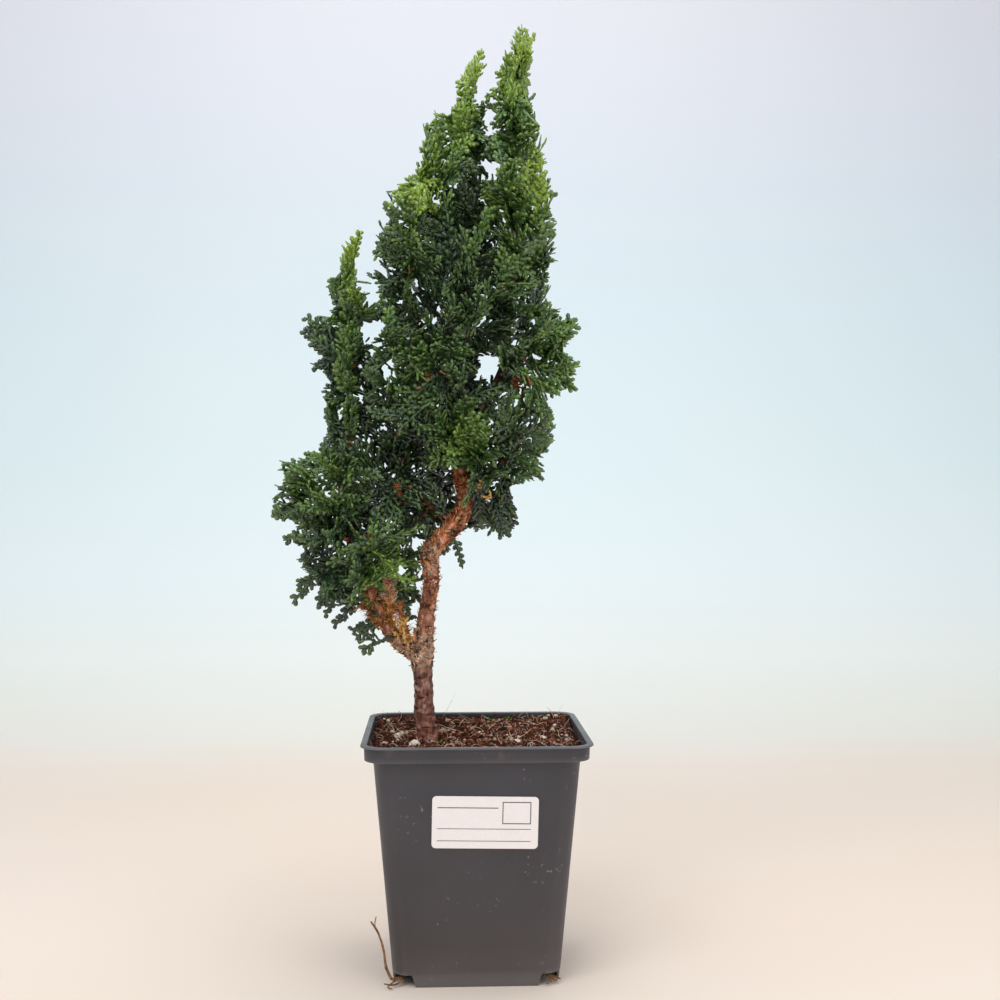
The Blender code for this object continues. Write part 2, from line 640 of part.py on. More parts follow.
def place_shoot(name, line, number, clearance):
    """One shoot with its main frond, turned round the limb and shortened until it is clear."""
    rng = np.random.default_rng([SEED, list(LIMBS).index(name), number])
    ways, clear, sizes = aim_shoot(name, line, number)
    owner = f"{name}_shoot_{number + 1}"
    best = None
    for shrink in SHRINKS:
        for way in ways:
            for attempt in range(FROND_TRIES // 2):
                frond = main_frond(rng, way, clear, sizes, shrink)
                good = facing(frond)
                if best and good <= best[0]:
                    continue
                guard = frond_mesh(frond, GUARD)
                if share_in_crown(guard[0]) > IN_CROWN and clearance.free(guard):
                    best = (good, frond)
            if best:
                mesh = frond_mesh(best[1])
                clearance.add(owner, mesh)
                return dict(name=owner, frond=best[1], length=sizes[1], rng=rng, blades=[mesh])
    return None


def frond_middle(frond):
    return frond["stalk"][-1] + 0.6 * frond["length"] * frond["direction"]


def facing(frond):
    """How squarely a frond faces away from the upright middle line of its mass, from 0 to 1."""
    middle = frond_middle(frond)
    axis = min(MASS_AXES, key=lambda place: math.hypot(middle[0] - place[0], middle[1] - place[1]))
    away = np.array((middle[0] - axis[0], middle[1] - axis[1], 0.0))
    return abs(frond["normal"] @ away) / max(np.linalg.norm(away), 1.0)


def side_frond(shoot, which, shrink):
    """A draw of one side frond's pose on the shoot's stalk."""
    rng = shoot["rng"]
    main = shoot["frond"]
    ahead = main["direction"]
    roll = rng.uniform(-0.9, 0.9) + (math.pi if which % 2 else 0.0)
    normal = unit(math.cos(roll) * main["normal"] + math.sin(roll) * np.cross(ahead, main["normal"]))
    yaw = math.radians(rng.uniform(40, 95))
    direction = unit(math.cos(yaw) * ahead + math.sin(yaw) * np.cross(normal, ahead))
    back = int(rng.integers(2, 4)) if which == 1 else int(rng.integers(4, 6))
    base = main["stalk"][back]
    length = shoot["length"] * rng.uniform(0.9, 1.1) * shrink
    breadth = rng.uniform(0.9, 1.1)
    return dict(stalk=base[None], direction=direction, normal=normal, length=length, breadth=breadth)


def place_side_frond(shoot, which, clearance, centres):
    """Adds one side frond: of several draws that are clear of all others, the one furthest from them."""
    best = None
    for shrink in SHRINKS:
        for attempt in range(FROND_TRIES):
            frond = side_frond(shoot, which, shrink)
            middle = frond_middle(frond)
            room = min((np.linalg.norm(middle - centre) for centre in centres), default=1e3)
            room += FACING_WEIGHT * facing(frond)
            if best and room < best[0]:
                continue
            guard = frond_mesh(frond, GUARD)
            if share_in_crown(guard[0]) < IN_CROWN or not clearance.free(guard, shoot["name"]):
                continue
            if clearance.free(outer_part(guard, frond)):
                best = (room, frond, middle)
        if best:
            break
    if best:
        mesh = frond_mesh(best[1])
        clearance.add(shoot["name"], mesh)
        shoot["blades"].append(mesh)
        centres.append(best[2])


def outer_part(mesh, frond):
    """The mesh with its first part pressed flat, as only that may touch the shoot that it grows from."""
    points = mesh[0].copy()
    short = ROOT_SHARE * frond["length"] - (points - frond["stalk"][0]) @ frond["direction"]
    points += np.outer(np.maximum(short, 0), frond["direction"])
    return points, mesh[1]


def make_foliage(lines, surface, parent):
    """Every leafy shoot as one object: its fronds, joined."""
    clearance = Clearance()
    for name, line in lines.items():
        clearance.add("wood", limb_mesh(name, line))
    shoots = []
    for name, spec in SHOOTS.items():
        for number in range(spec["count"])[::-1]:
            shoots.append(place_shoot(name, lines[name], number, clearance))
    shoots = [shoot for shoot in shoots if shoot]
    centres = [frond_middle(shoot["frond"]) for shoot in shoots]
    for which in range(1, FRONDS):
        for shoot in shoots:
            place_side_frond(shoot, which, clearance, centres)
    for shoot in shoots:
        blades = [add_object("frond", *mesh, surface, parent) for mesh in shoot["blades"]]
        blades[0].name = shoot["name"]
        if len(blades) > 1:
            apply_boolean(blades[0], blades[1:], "UNION", "MANIFOLD")


def main():
    for old in list(bpy.data.objects):
        bpy.data.objects.remove(old)
    base = bpy.data.objects.new("bonsai", None)
    bpy.context.scene.collection.objects.link(base)
    plastic = material("pot_plastic", (0.045, 0.048, 0.055), 0.45)
    paper = material("label_paper", (0.86, 0.86, 0.86), 0.5)
    peat = material("peat", (0.065, 0.030, 0.020), 0.95)
    perlite = material("perlite", (0.72, 0.70, 0.64), 0.9)
    root = material("root", (0.16, 0.08, 0.04), 0.85)
    bark = material("bark", (0.24, 0.10, 0.06), 0.85)
    leaf = material("leaf", (0.035, 0.110, 0.030), 0.55)
    make_pot(plastic, base)
    make_label(paper, base)
    make_soil(peat, base)
    for name, (x, y, radius) in GRAINS.items():
        add_object(name, *grain_mesh(x, y, radius), perlite, base)
    make_roots(root, base)
    lines = limb_lines()
    make_wood(lines, bark, base)
    make_foliage(lines, leaf, base)


main()
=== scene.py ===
# Hinoki cypress bonsai in a square nursery pot: sprays of scale leaves, bark, peat, pot and studio
# Sizes and places are in millimetres and become metres in addPiece

import math

import bmesh
import bpy
import numpy as np
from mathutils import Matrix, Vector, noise
from mathutils.bvhtree import BVHTree
from mathutils.geometry import tessellate_polygon


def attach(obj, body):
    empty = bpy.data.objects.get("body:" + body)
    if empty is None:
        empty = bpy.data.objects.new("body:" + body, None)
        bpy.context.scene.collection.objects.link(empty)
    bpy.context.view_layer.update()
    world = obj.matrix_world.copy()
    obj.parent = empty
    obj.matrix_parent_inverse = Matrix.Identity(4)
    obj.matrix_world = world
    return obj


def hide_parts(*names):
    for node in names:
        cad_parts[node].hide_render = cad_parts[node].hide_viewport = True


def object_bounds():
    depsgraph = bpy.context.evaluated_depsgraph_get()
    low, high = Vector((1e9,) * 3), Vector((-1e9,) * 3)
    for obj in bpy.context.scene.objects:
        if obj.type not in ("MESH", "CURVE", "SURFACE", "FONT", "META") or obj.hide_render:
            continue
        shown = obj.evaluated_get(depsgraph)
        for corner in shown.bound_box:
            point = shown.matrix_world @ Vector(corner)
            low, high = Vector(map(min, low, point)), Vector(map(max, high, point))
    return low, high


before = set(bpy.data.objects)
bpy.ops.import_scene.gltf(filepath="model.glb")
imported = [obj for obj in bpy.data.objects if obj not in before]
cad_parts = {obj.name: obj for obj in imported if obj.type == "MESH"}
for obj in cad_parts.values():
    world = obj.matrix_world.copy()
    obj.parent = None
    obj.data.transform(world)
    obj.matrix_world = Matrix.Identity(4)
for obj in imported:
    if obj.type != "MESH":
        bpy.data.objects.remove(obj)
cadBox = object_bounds()
mm = 0.001
# a direction that no limb runs along
crossing = (0.31, 0.95, 0.05)
print("frame loaded with", len(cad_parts), "nodes")


# Mesh helpers

def unit(vector):
    return vector / np.linalg.norm(vector)


def units(vectors):
    return vectors / np.linalg.norm(vectors, axis=-1, keepdims=True)


def smoothPath(points, steps):
    p = np.array(points, float)
    p = np.vstack([2 * p[0] - p[1], p, 2 * p[-1] - p[-2]])
    t = np.arange(steps)[:, None] / steps
    spans = []
    for a, b, c, d in zip(p, p[1:], p[2:], p[3:]):
        bend = (2 * a - 5 * b + 4 * c - d) * t**2 + (3 * b - a - 3 * c + d) * t**3
        spans.append(0.5 * (2 * b + (c - a) * t + bend))
    return np.vstack(spans + [p[-2:-1]])


def skin(rings, capped=True):
    # quads over rings with the same number of points, and a flat cap at both ends
    rings = np.asarray(rings)
    count, sides = rings.shape[:2]
    i = np.arange(sides)
    j = (i + 1) % sides
    low = np.arange(count - 1)[:, None] * sides
    quads = np.stack([low + i, low + j, low + sides + j, low + sides + i], -1).reshape(-1, 4)
    faces = [quads]
    if capped:
        faces += [i[None, ::-1], (i + (count - 1) * sides)[None]]
    return rings.reshape(-1, 3), faces


class Batch:
    # gathers points, faces and per-point values of one piece
    def __init__(self, *names):
        self.names, self.count = names, 0
        self.points, self.faces, self.values = [], [], []

    def add(self, points, faces, **values):
        self.points.append(points)
        self.faces += [face + self.count for face in faces]
        column = [np.broadcast_to(values.get(name, 0.0), len(points)) for name in self.names]
        self.values.append(np.stack(column, -1) if column else np.zeros((len(points), 0)))
        self.count += len(points)

    def triangles(self):
        return sum(len(face) * (face.shape[1] - 2) for face in self.faces)


def addPiece(name, batch, surfaces, nodes=(), slot=None, smooth=True, surfaceOf=None):
    mesh = bpy.data.meshes.new(name)
    points = np.concatenate(batch.points)
    corners = np.concatenate([face.ravel() for face in batch.faces])
    sizes = np.concatenate([np.full(len(face), face.shape[1]) for face in batch.faces])
    mesh.vertices.add(len(points))
    mesh.vertices.foreach_set("co", (points * mm).ravel())
    mesh.loops.add(len(corners))
    mesh.loops.foreach_set("vertex_index", corners)
    mesh.polygons.add(len(sizes))
    mesh.polygons.foreach_set("loop_start", np.cumsum(sizes) - sizes)
    mesh.update(calc_edges=True)
    mesh.polygons.foreach_set("use_smooth", np.full(len(sizes), smooth))
    if surfaceOf is not None:
        mesh.polygons.foreach_set("material_index", surfaceOf)
    values = np.concatenate(batch.values)
    for column, valueName in enumerate(batch.names):
        mesh.attributes.new(valueName, "FLOAT", "POINT").data.foreach_set("value", values[:, column])
    for finish in surfaces:
        mesh.materials.append(finish)
    piece = bpy.data.objects.new(name, mesh)
    bpy.context.scene.collection.objects.link(piece)
    if slot:
        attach(piece, "root")
    if nodes:
        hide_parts(*nodes)
    return piece


def strips(rows, section, profile):
    # closed tapering strips, one a row of base, direction, upper side, length, width, thickness, bow and curl
    t, wide, high = np.array(profile).T
    base, ahead, up = rows[:, 0:3], rows[:, 3:6], rows[:, 6:9]
    length, width, thick, bow, curl = rows[:, 9:14].T
    bend = np.cross(up, ahead) * bow[:, None] + up * curl[:, None]
    T = t[None, :, None]
    line = base[:, None] + length[:, None, None] * (ahead[:, None] * T + bend[:, None] * T**2)
    along = units(ahead[:, None] + 2 * T * bend[:, None])
    upHere = units(up[:, None] - along * (along * up[:, None]).sum(-1, keepdims=True))
    sideHere = np.cross(upHere, along)
    across = (width[:, None] * wide / 2)[:, :, None, None] * section[None, None, :, 0:1]
    height = (thick[:, None] * high / 2)[:, :, None, None] * section[None, None, :, 1:2]
    points = line[:, :, None] + sideHere[:, :, None] * across + upHere[:, :, None] * height
    tip = np.broadcast_to(t[None, :, None], points.shape[:3]).ravel()
    return *skins(points), tip


def skins(points):
    # the skins of many equal sets of rings
    many, count, sides = points.shape[:3]
    faces = skin(np.zeros((count, sides, 3)))[1]
    start = (np.arange(many) * count * sides)[:, None, None]
    return points.reshape(-1, 3), [(face[None] + start).reshape(-1, face.shape[1]) for face in faces]


def curls(base, ahead, aside, length, turn, drift, radius, rings=6):
    # thin tapering threads, each an arc that turns from ahead to aside and drifts along its axis
    t = np.linspace(0, 1, rings)[None, :, None]
    angle = turn[:, None, None] * t
    axis, ahead, aside = np.cross(ahead, aside)[:, None], ahead[:, None], aside[:, None]
    line = base[:, None] + axis * (drift * length)[:, None, None] * t
    line = line + (length / turn)[:, None, None] * (np.sin(angle) * ahead + (1 - np.cos(angle)) * aside)
    out = np.cross(axis, np.cos(angle) * ahead + np.sin(angle) * aside)
    corners = 2 * math.pi * np.arange(3) / 3
    spread = np.cos(corners)[:, None] * out[:, :, None] + np.sin(corners)[:, None] * axis[:, :, None]
    size = radius[:, None, None, None] * (1.05 - 0.75 * t[..., None])
    return skins(line[:, :, None] + size * spread)


def runAlong(path):
    # how far along a path each of its points lies
    return np.concatenate([[0], np.cumsum(np.linalg.norm(np.diff(path, axis=0), axis=1))])


def pointsAt(where, run, path):
    return np.stack([np.interp(where, run, column) for column in path.T], -1)


def ringsRound(line, sides):
    # a point, its radius and the directions out to a ring round it, all along a path of x, y, z, r
    tangents = units(np.gradient(line[:, :3], axis=0))
    side = unit(np.cross(tangents[0], crossing))
    angles = 2 * math.pi * np.arange(sides) / sides
    for row, tangent in zip(line, tangents):
        side = unit(side - tangent * (side @ tangent))
        outward = np.outer(np.cos(angles), side) + np.outer(np.sin(angles), np.cross(tangent, side))
        yield row[:3], row[3], outward


def stripRow(base, direction, up, length, width, thick, bow=0.0, curl=0.0):
    up = unit(up - direction * (up @ direction))
    return np.array([*base, *direction, *up, length, width, thick, bow, curl])


def anyAcross(rng, direction):
    return units(np.cross(direction, rng.normal(size=direction.shape)))


# Material helpers

def surface(name, roughness):
    made = bpy.data.materials.new(name)
    made.use_nodes = True
    tree = made.node_tree
    shader = tree.nodes["Principled BSDF"]
    shader.inputs["Roughness"].default_value = roughness
    return made, tree, shader


def node(tree, kind, **settings):
    made = tree.nodes.new("ShaderNode" + kind)
    for name, setting in settings.items():
        setattr(made, name, setting)
    return made


def value(tree, name):
    return node(tree, "Attribute", attribute_name=name).outputs["Fac"]


def place(tree):
    return node(tree, "TexCoord").outputs["Object"]


def heightOf(tree):
    spot = node(tree, "SeparateXYZ")
    tree.links.new(place(tree), spot.inputs["Vector"])
    return spot.outputs["Z"]


def noiseOf(tree, scale, detail, stretch=None):
    made = node(tree, "TexNoise")
    made.inputs["Scale"].default_value = scale
    made.inputs["Detail"].default_value = detail
    source = place(tree)
    if stretch:
        mapping = node(tree, "Mapping")
        mapping.inputs["Scale"].default_value = stretch
        tree.links.new(source, mapping.inputs["Vector"])
        source = mapping.outputs["Vector"]
    tree.links.new(source, made.inputs["Vector"])
    return made.outputs["Fac"]


def ramp(tree, source, *stops):
    made = node(tree, "ValToRGB")
    elements = made.color_ramp.elements
    while len(elements) < len(stops):
        elements.new(0.5)
    for element, (where, colour) in zip(elements, stops):
        element.position = where
        element.color = (*colour, 1) if len(np.shape(colour)) else (colour, colour, colour, 1)
    tree.links.new(source, made.inputs["Fac"])
    return made.outputs["Color"]


def noiseRamp(tree, scale, detail, *stops, stretch=None):
    return ramp(tree, noiseOf(tree, scale, detail, stretch), *stops)


def feed(tree, sockets, sources):
    # links a source that is a socket, and sets a number or a colour
    for socket, source in zip(sockets, sources):
        if isinstance(source, bpy.types.NodeSocket):
            tree.links.new(source, socket)
        elif np.ndim(source):
            socket.default_value = (*source, 1)
        else:
            socket.default_value = source


def mixed(tree, share, a, b, blend="MIX"):
    made = node(tree, "MixRGB", blend_type=blend)
    feed(tree, made.inputs, (share, a, b))
    return made.outputs["Color"]


def shaded(tree, base, pattern):
    return mixed(tree, 1.0, base, pattern, "MULTIPLY")


def math2(tree, operation, a, b):
    made = node(tree, "Math", operation=operation)
    feed(tree, made.inputs, (a, b))
    return made.outputs["Value"]


def coloured(tree, shader, colour):
    tree.links.new(colour, shader.inputs["Base Color"])


def bumped(tree, shader, height, strength, distance):
    made = node(tree, "Bump")
    made.inputs["Strength"].default_value = strength
    made.inputs["Distance"].default_value = distance * mm
    tree.links.new(height, made.inputs["Height"])
    tree.links.new(made.outputs["Normal"], shader.inputs["Normal"])


# Studio

studio = dict(
    eye=(6.5, -687.0, 228.6), tilt=90.2, turn=-2.6, lens=49.1, sensor=36, target=(25.0, 0.0, 220.0),
    keyPlace=(-500, -900, 1150), keySize=900, keyPower=8,
    fillPlace=(700, -800, 500), fillSize=900, fillPower=3,
    topPlace=(60, 60, 1250), topSize=900, topPower=6,
    sweepWidth=3200, sweepFront=-1500, sweepBack=900, sweepHeight=1900, sweepBend=500, bendSteps=12,
    worldLight=0.38, worldColour=(0.93, 0.96, 1.0, 1), view="Standard",
    paleCloud=(0.93, 0.93, 0.95), colourTop=1100,
)
# colours of the floor and of the backdrop above it, by share of colourTop
sweepColours = [
    (0.0, (0.92, 0.78, 0.66)), (0.02, (0.89, 0.87, 0.79)), (0.07, (0.90, 0.95, 0.91)),
    (0.14, (0.87, 0.97, 0.99)), (0.25, (0.81, 0.96, 1.0)), (0.42, (0.78, 0.93, 1.0)),
    (0.55, (0.79, 0.88, 0.97)), (0.8, (0.88, 0.88, 0.975)),
]


def addStudio():
    camera = bpy.data.cameras.new("camera")
    camera.lens = studio["lens"]
    camera.sensor_width = studio["sensor"]
    holder = bpy.data.objects.new("camera", camera)
    holder.location = np.array(studio["eye"]) * mm
    holder.rotation_euler = (math.radians(studio["tilt"]), 0, math.radians(studio["turn"]))
    bpy.context.scene.collection.objects.link(holder)
    bpy.context.scene.camera = holder
    bpy.context.scene.view_settings.view_transform = studio["view"]
    for name in ("key", "fill", "top"):
        lamp = bpy.data.lights.new(name, "AREA")
        lamp.energy = studio[name + "Power"]
        lamp.size = studio[name + "Size"] * mm
        light = bpy.data.objects.new(name, lamp)
        spot = np.array(studio[name + "Place"], float)
        light.location = spot * mm
        down = np.array(studio["target"]) - spot
        yaw = math.atan2(down[1], down[0]) - math.pi / 2
        light.rotation_euler = (math.acos(-down[2] / np.linalg.norm(down)), 0, yaw)
        bpy.context.scene.collection.objects.link(light)
    world = bpy.data.worlds.new("world")
    bpy.context.scene.world = world
    world.use_nodes = True
    sky = world.node_tree.nodes["Background"]
    sky.inputs["Color"].default_value = studio["worldColour"]
    sky.inputs["Strength"].default_value = studio["worldLight"]
    addSweep()


def addSweep():
    # floor that curves up into the backdrop
    bend, back, steps = studio["sweepBend"], studio["sweepBack"], studio["bendSteps"]
    line = [(studio["sweepFront"], 0.0), (back - bend, 0.0)]
    for step in range(1, steps + 1):
        angle = math.pi / 2 * step / steps
        line.append((back - bend + bend * math.sin(angle), bend - bend * math.cos(angle)))
    line.append((back, studio["sweepHeight"]))
    line = np.array(line)
    half = studio["sweepWidth"] / 2
    rings = [np.column_stack([np.full(len(line), x), line]) for x in (-half, half)]
    points = np.vstack(rings)
    i = np.arange(len(line) - 1)
    batch = Batch()
    batch.add(points, [np.stack([i, i + len(line), i + len(line) + 1, i + 1], -1)])
    made, tree, shader = surface("backdrop", 0.9)
    soft = ramp(tree, math2(tree, "DIVIDE", heightOf(tree), studio["colourTop"] * mm), *sweepColours)
    cloud = noiseRamp(tree, 2.2, 1.0, (0.35, 0.0), (0.75, 0.22))
    coloured(tree, shader, mixed(tree, cloud, soft, studio["paleCloud"]))
    addPiece("backdrop", batch, [made])


addStudio()
print("studio, camera and backdrop")


# Pot

pot = dict(
    middle=25.0, height=116.0, flange=110.0, collar=106.4, collarLow=108.4, shoulder=98.4, shoulderZ=108.0,
    foot=79.4, floorTop=6.4, floorThick=1.2, wall=1.1, flangeThick=1.0, edge=0.4, corner=10.0, cornerSteps=12,
    tabLow=57.6, tabHigh=61.7, tabHeight=6.0, drainReach=36.5, drainRadius=5.0, drainSides=40, cutFrom=3.0,
    lugWide=1.8, lugDeep=1.4, lugHigh=5.0, lugAside=3.0, wallFrom=8.0, wallRings=9, sharpAngle=38,
)


def wallWidth(z):
    return pot["foot"] + (pot["shoulder"] - pot["foot"]) * z / pot["shoulderZ"]


def roundedSquare(width, z, radius):
    half = width / 2
    radius = min(radius, half)
    steps = pot["cornerSteps"]
    points = []
    for corner in range(4):
        middle = math.pi / 2 * (corner + 0.5)
        inset = (half - radius) * math.sqrt(2)
        for step in range(steps + 1):
            angle = math.pi / 2 * (corner + step / steps)
            x = pot["middle"] + inset * math.cos(middle) + radius * math.cos(angle)
            points.append((x, inset * math.sin(middle) + radius * math.sin(angle), z))
    return np.array(points)


def cornerBlock(low, high, corner):
    c, s = math.cos(math.pi / 2 * corner), math.sin(math.pi / 2 * corner)
    rings = []
    for (x0, y0, x1, y1), z in (low, high):
        ring = np.array([(x0, y0), (x1, y0), (x1, y1), (x0, y1)]) @ np.array([(c, s), (-s, c)])
        rings.append(np.column_stack([ring[:, 0] + pot["middle"], ring[:, 1], np.full(4, z)]))
    return skin(rings)


def plainObject(name, points, faces):
    batch = Batch()
    batch.add(points, faces)
    return addPiece(name, batch, [])


def cut(piece, others, operation):
    # joins the others to the piece or takes them out of it, and removes them
    group = bpy.data.collections.new(piece.name + "Parts")
    bpy.context.scene.collection.children.link(group)
    for other in others:
        bpy.context.scene.collection.objects.unlink(other)
        group.objects.link(other)
    boolean = piece.modifiers.new("Boolean", "BOOLEAN")
    boolean.operation = operation
    boolean.operand_type = "COLLECTION"
    boolean.collection = group
    boolean.solver = "EXACT"
    result = bpy.data.meshes.new_from_object(piece.evaluated_get(bpy.context.evaluated_depsgraph_get()))
    piece.modifiers.clear()
    piece.data = result
    for other in others:
        bpy.data.objects.remove(other)
    bpy.data.collections.remove(group)


def potSurface():
    made, tree, shader = surface("potPlastic", 0.42)
    height = math2(tree, "DIVIDE", heightOf(tree), pot["height"] * mm)
    base = ramp(tree, height, (0.0, (0.062, 0.045, 0.043)), (0.22, (0.052, 0.046, 0.049)),
                (0.9, (0.045, 0.045, 0.057)))
    base = shaded(tree, base, noiseRamp(tree, 22.0, 5.0, (0.3, 0.76), (0.7, 1.16)))
    dusty = noiseRamp(tree, 50.0, 3.0, (0.52, 0.0), (0.62, 1.0))
    dust = shaded(tree, noiseRamp(tree, 420.0, 2.0, (0.66, 0.0), (0.70, 0.8)), dusty)
    base = mixed(tree, dust, base, (0.22, 0.20, 0.18))
    scratch = noiseRamp(tree, 130.0, 1.0, (0.765, 0.0), (0.785, 0.3), stretch=(3.0, 3.0, 0.5))
    base = mixed(tree, scratch, base, (0.16, 0.16, 0.165))
    smudge = noiseRamp(tree, 75.0, 5.0, (0.64, 0.0), (0.76, 0.55))
    smudge = shaded(tree, smudge, ramp(tree, height, (0.86, 0.12), (0.94, 0.9)))
    base = mixed(tree, smudge, base, (0.17, 0.115, 0.075))
    # painted highlight: the top edge of the lip is made lighter
    lip = ramp(tree, height, (0.988, 0.0), (1.0, 0.55))
    base = mixed(tree, lip, base, (0.15, 0.155, 0.165))
    # paler on the sharp outer edges
    paleSharpEdges = ramp(tree, node(tree, "NewGeometry").outputs["Pointiness"], (0.505, 0.0), (0.56, 0.5))
    coloured(tree, shader, mixed(tree, paleSharpEdges, base, (0.19, 0.19, 0.20)))
    rough = mixed(tree, 1.0, noiseRamp(tree, 45.0, 4.0, (0.3, 0.34), (0.7, 0.55)), dust, "ADD")
    tree.links.new(rough, shader.inputs["Roughness"])
    ripple = mixed(tree, 0.5, noiseOf(tree, 500.0, 2.0), noiseOf(tree, 26.0, 2.0, stretch=(3.0, 3.0, 0.5)))
    bumped(tree, shader, ripple, 0.25, 0.35)
    return made


def addPot():
    p = pot
    edge, wall, foot, shoulder = p["edge"], p["wall"], p["foot"], p["shoulder"]
    floor, under, ledge = p["floorTop"], p["floorTop"] - p["floorThick"], p["collarLow"]
    top, lip, flange = p["height"], p["height"] - p["flangeThick"], p["flange"]
    collar, inner = p["collar"], p["collar"] - 2 * wall
    # widths and heights of the shell's rings, from under the floor up the outside and down the inside
    profile = [(wallWidth(under) - 2 * wall, under), (foot - 2 * wall, 0.0), (foot - edge, 0.0)]
    profile.append((foot, edge * 0.6))
    profile += [(wallWidth(z), z) for z in np.linspace(p["wallFrom"], p["shoulderZ"], p["wallRings"])]
    profile += [
        (shoulder + edge * 0.7, ledge - 0.1), (collar - 2 * edge, ledge),
        (collar - 0.5 * edge, ledge + 0.3 * edge), (collar, ledge + edge),
        (collar + edge, lip - edge), (collar + 2.2 * edge, lip - 0.1),
        (flange - edge, lip), (flange, lip + 0.4 * edge), (flange, top - edge),
        (flange - 0.6 * edge, top - 0.3 * edge), (flange - 2 * edge, top), (inner + 3 * edge, top),
        (inner + edge, top - 0.4 * edge), (inner, top - edge), (inner, ledge + wall),
        (shoulder - 2 * wall, ledge + edge), (wallWidth(floor) - 2 * wall, floor),
    ]
    rings = [roundedSquare(width, z, p["corner"] * width / shoulder) for width, z in profile]
    piece = plainObject("potShell", *skin(rings))
    out = collar / 2 - wall
    across = out - p["corner"] - p["lugAside"]
    lugFoot = (across, out - p["lugDeep"], across + p["lugWide"], out + wall / 3)
    lugEnds = (lugFoot, ledge + wall), (lugFoot, ledge + p["lugHigh"])
    cut(piece, [plainObject("lug", *cornerBlock(*lugEnds, corner)) for corner in range(4)], "UNION")
    cutters = []
    for corner in range(4):
        ends = []
        for z in (-1.0, p["tabHeight"]):
            side = (p["tabLow"] + (p["tabHigh"] - p["tabLow"]) * z / p["tabHeight"]) / 2
            ends.append(((side, side, foot, foot), z))
        cutters.append(plainObject("corner", *cornerBlock(*ends, corner)))
        drain = (p["tabHigh"] / 2, p["tabHigh"] / 2, p["drainReach"], p["drainReach"])
        ends = (drain, p["cutFrom"]), (drain, floor + 1)
        cutters.append(plainObject("drain", *cornerBlock(*ends, corner)))
    sides = p["drainSides"]
    angles = 2 * math.pi * np.arange(sides) / sides
    circle = np.column_stack([np.cos(angles), np.sin(angles)]) * p["drainRadius"] + (p["middle"], 0)
    rings = [np.column_stack([circle, np.full(sides, z)]) for z in (p["cutFrom"], floor + 1)]
    cutters.append(plainObject("middleDrain", *skin(rings)))
    cut(piece, cutters, "DIFFERENCE")
    piece.data.materials.append(potSurface())
    piece.data.polygons.foreach_set("use_smooth", np.ones(len(piece.data.polygons), bool))
    piece.data.set_sharp_from_angle(angle=math.radians(p["sharpAngle"]))
    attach(piece, "root")
    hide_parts("pot")


addPot()
print("pot with collar, lip, lugs, feet and drain holes")


# Label

label = dict(
    width=50.0, height=25.0, radius=2.0, cornerSteps=8, edge=0.1, thick=0.4, gap=0.3, x=3.6, z=79.6, turn=1.1,
    inkRise=0.04, inkSunk=0.05, inkWide=0.45, fineInk=0.7, left=-22.5, right=21.5, titleEnd=6.0, titleUp=6.8,
    lineUps=(-3.2, -9.0), boxLeft=8.0, boxLow=-0.6, boxHigh=9.6,
)


def onLabel(across, up, out):
    # place on the leaning front wall, measured from the label's middle
    lean = math.atan((pot["shoulder"] - pot["foot"]) / 2 / pot["shoulderZ"])
    turn = math.radians(-label["turn"])
    c, s = math.cos(turn), math.sin(turn)
    across, up = across * c - up * s, across * s + up * c
    x = pot["middle"] + label["x"] + across
    y = -wallWidth(label["z"]) / 2 - up * math.sin(lean) - out * math.cos(lean)
    return np.stack([x, y, label["z"] + up * math.cos(lean) - out * math.sin(lean)], -1)


def labelOutline(inset):
    points = []
    half = np.array((label["width"] / 2 - label["radius"], label["height"] / 2 - label["radius"]))
    for corner, signs in enumerate([(1, 1), (-1, 1), (-1, -1), (1, -1)]):
        for step in range(label["cornerSteps"] + 1):
            angle = math.pi / 2 * (corner + step / label["cornerSteps"])
            way = np.array((math.cos(angle), math.sin(angle)))
            points.append(np.array(signs) * half + (label["radius"] - inset) * way)
    return np.array(points)


def inkBars():
    # a short title line, two long fine lines and the four sides of an empty box
    ink, fine = label["inkWide"], label["inkWide"] * label["fineInk"]
    left, right, boxLeft = label["left"], label["right"], label["boxLeft"]
    low, high = label["boxLow"], label["boxHigh"]
    bars = [(left, label["titleUp"], label["titleEnd"], label["titleUp"] + ink)]
    bars += [(left, up, right, up + fine) for up in label["lineUps"]]
    bars += [(boxLeft, up, right, up + ink) for up in (low, high)]
    return bars + [(boxLeft, low, boxLeft + ink, high + ink), (right - ink, low, right, high + ink)]


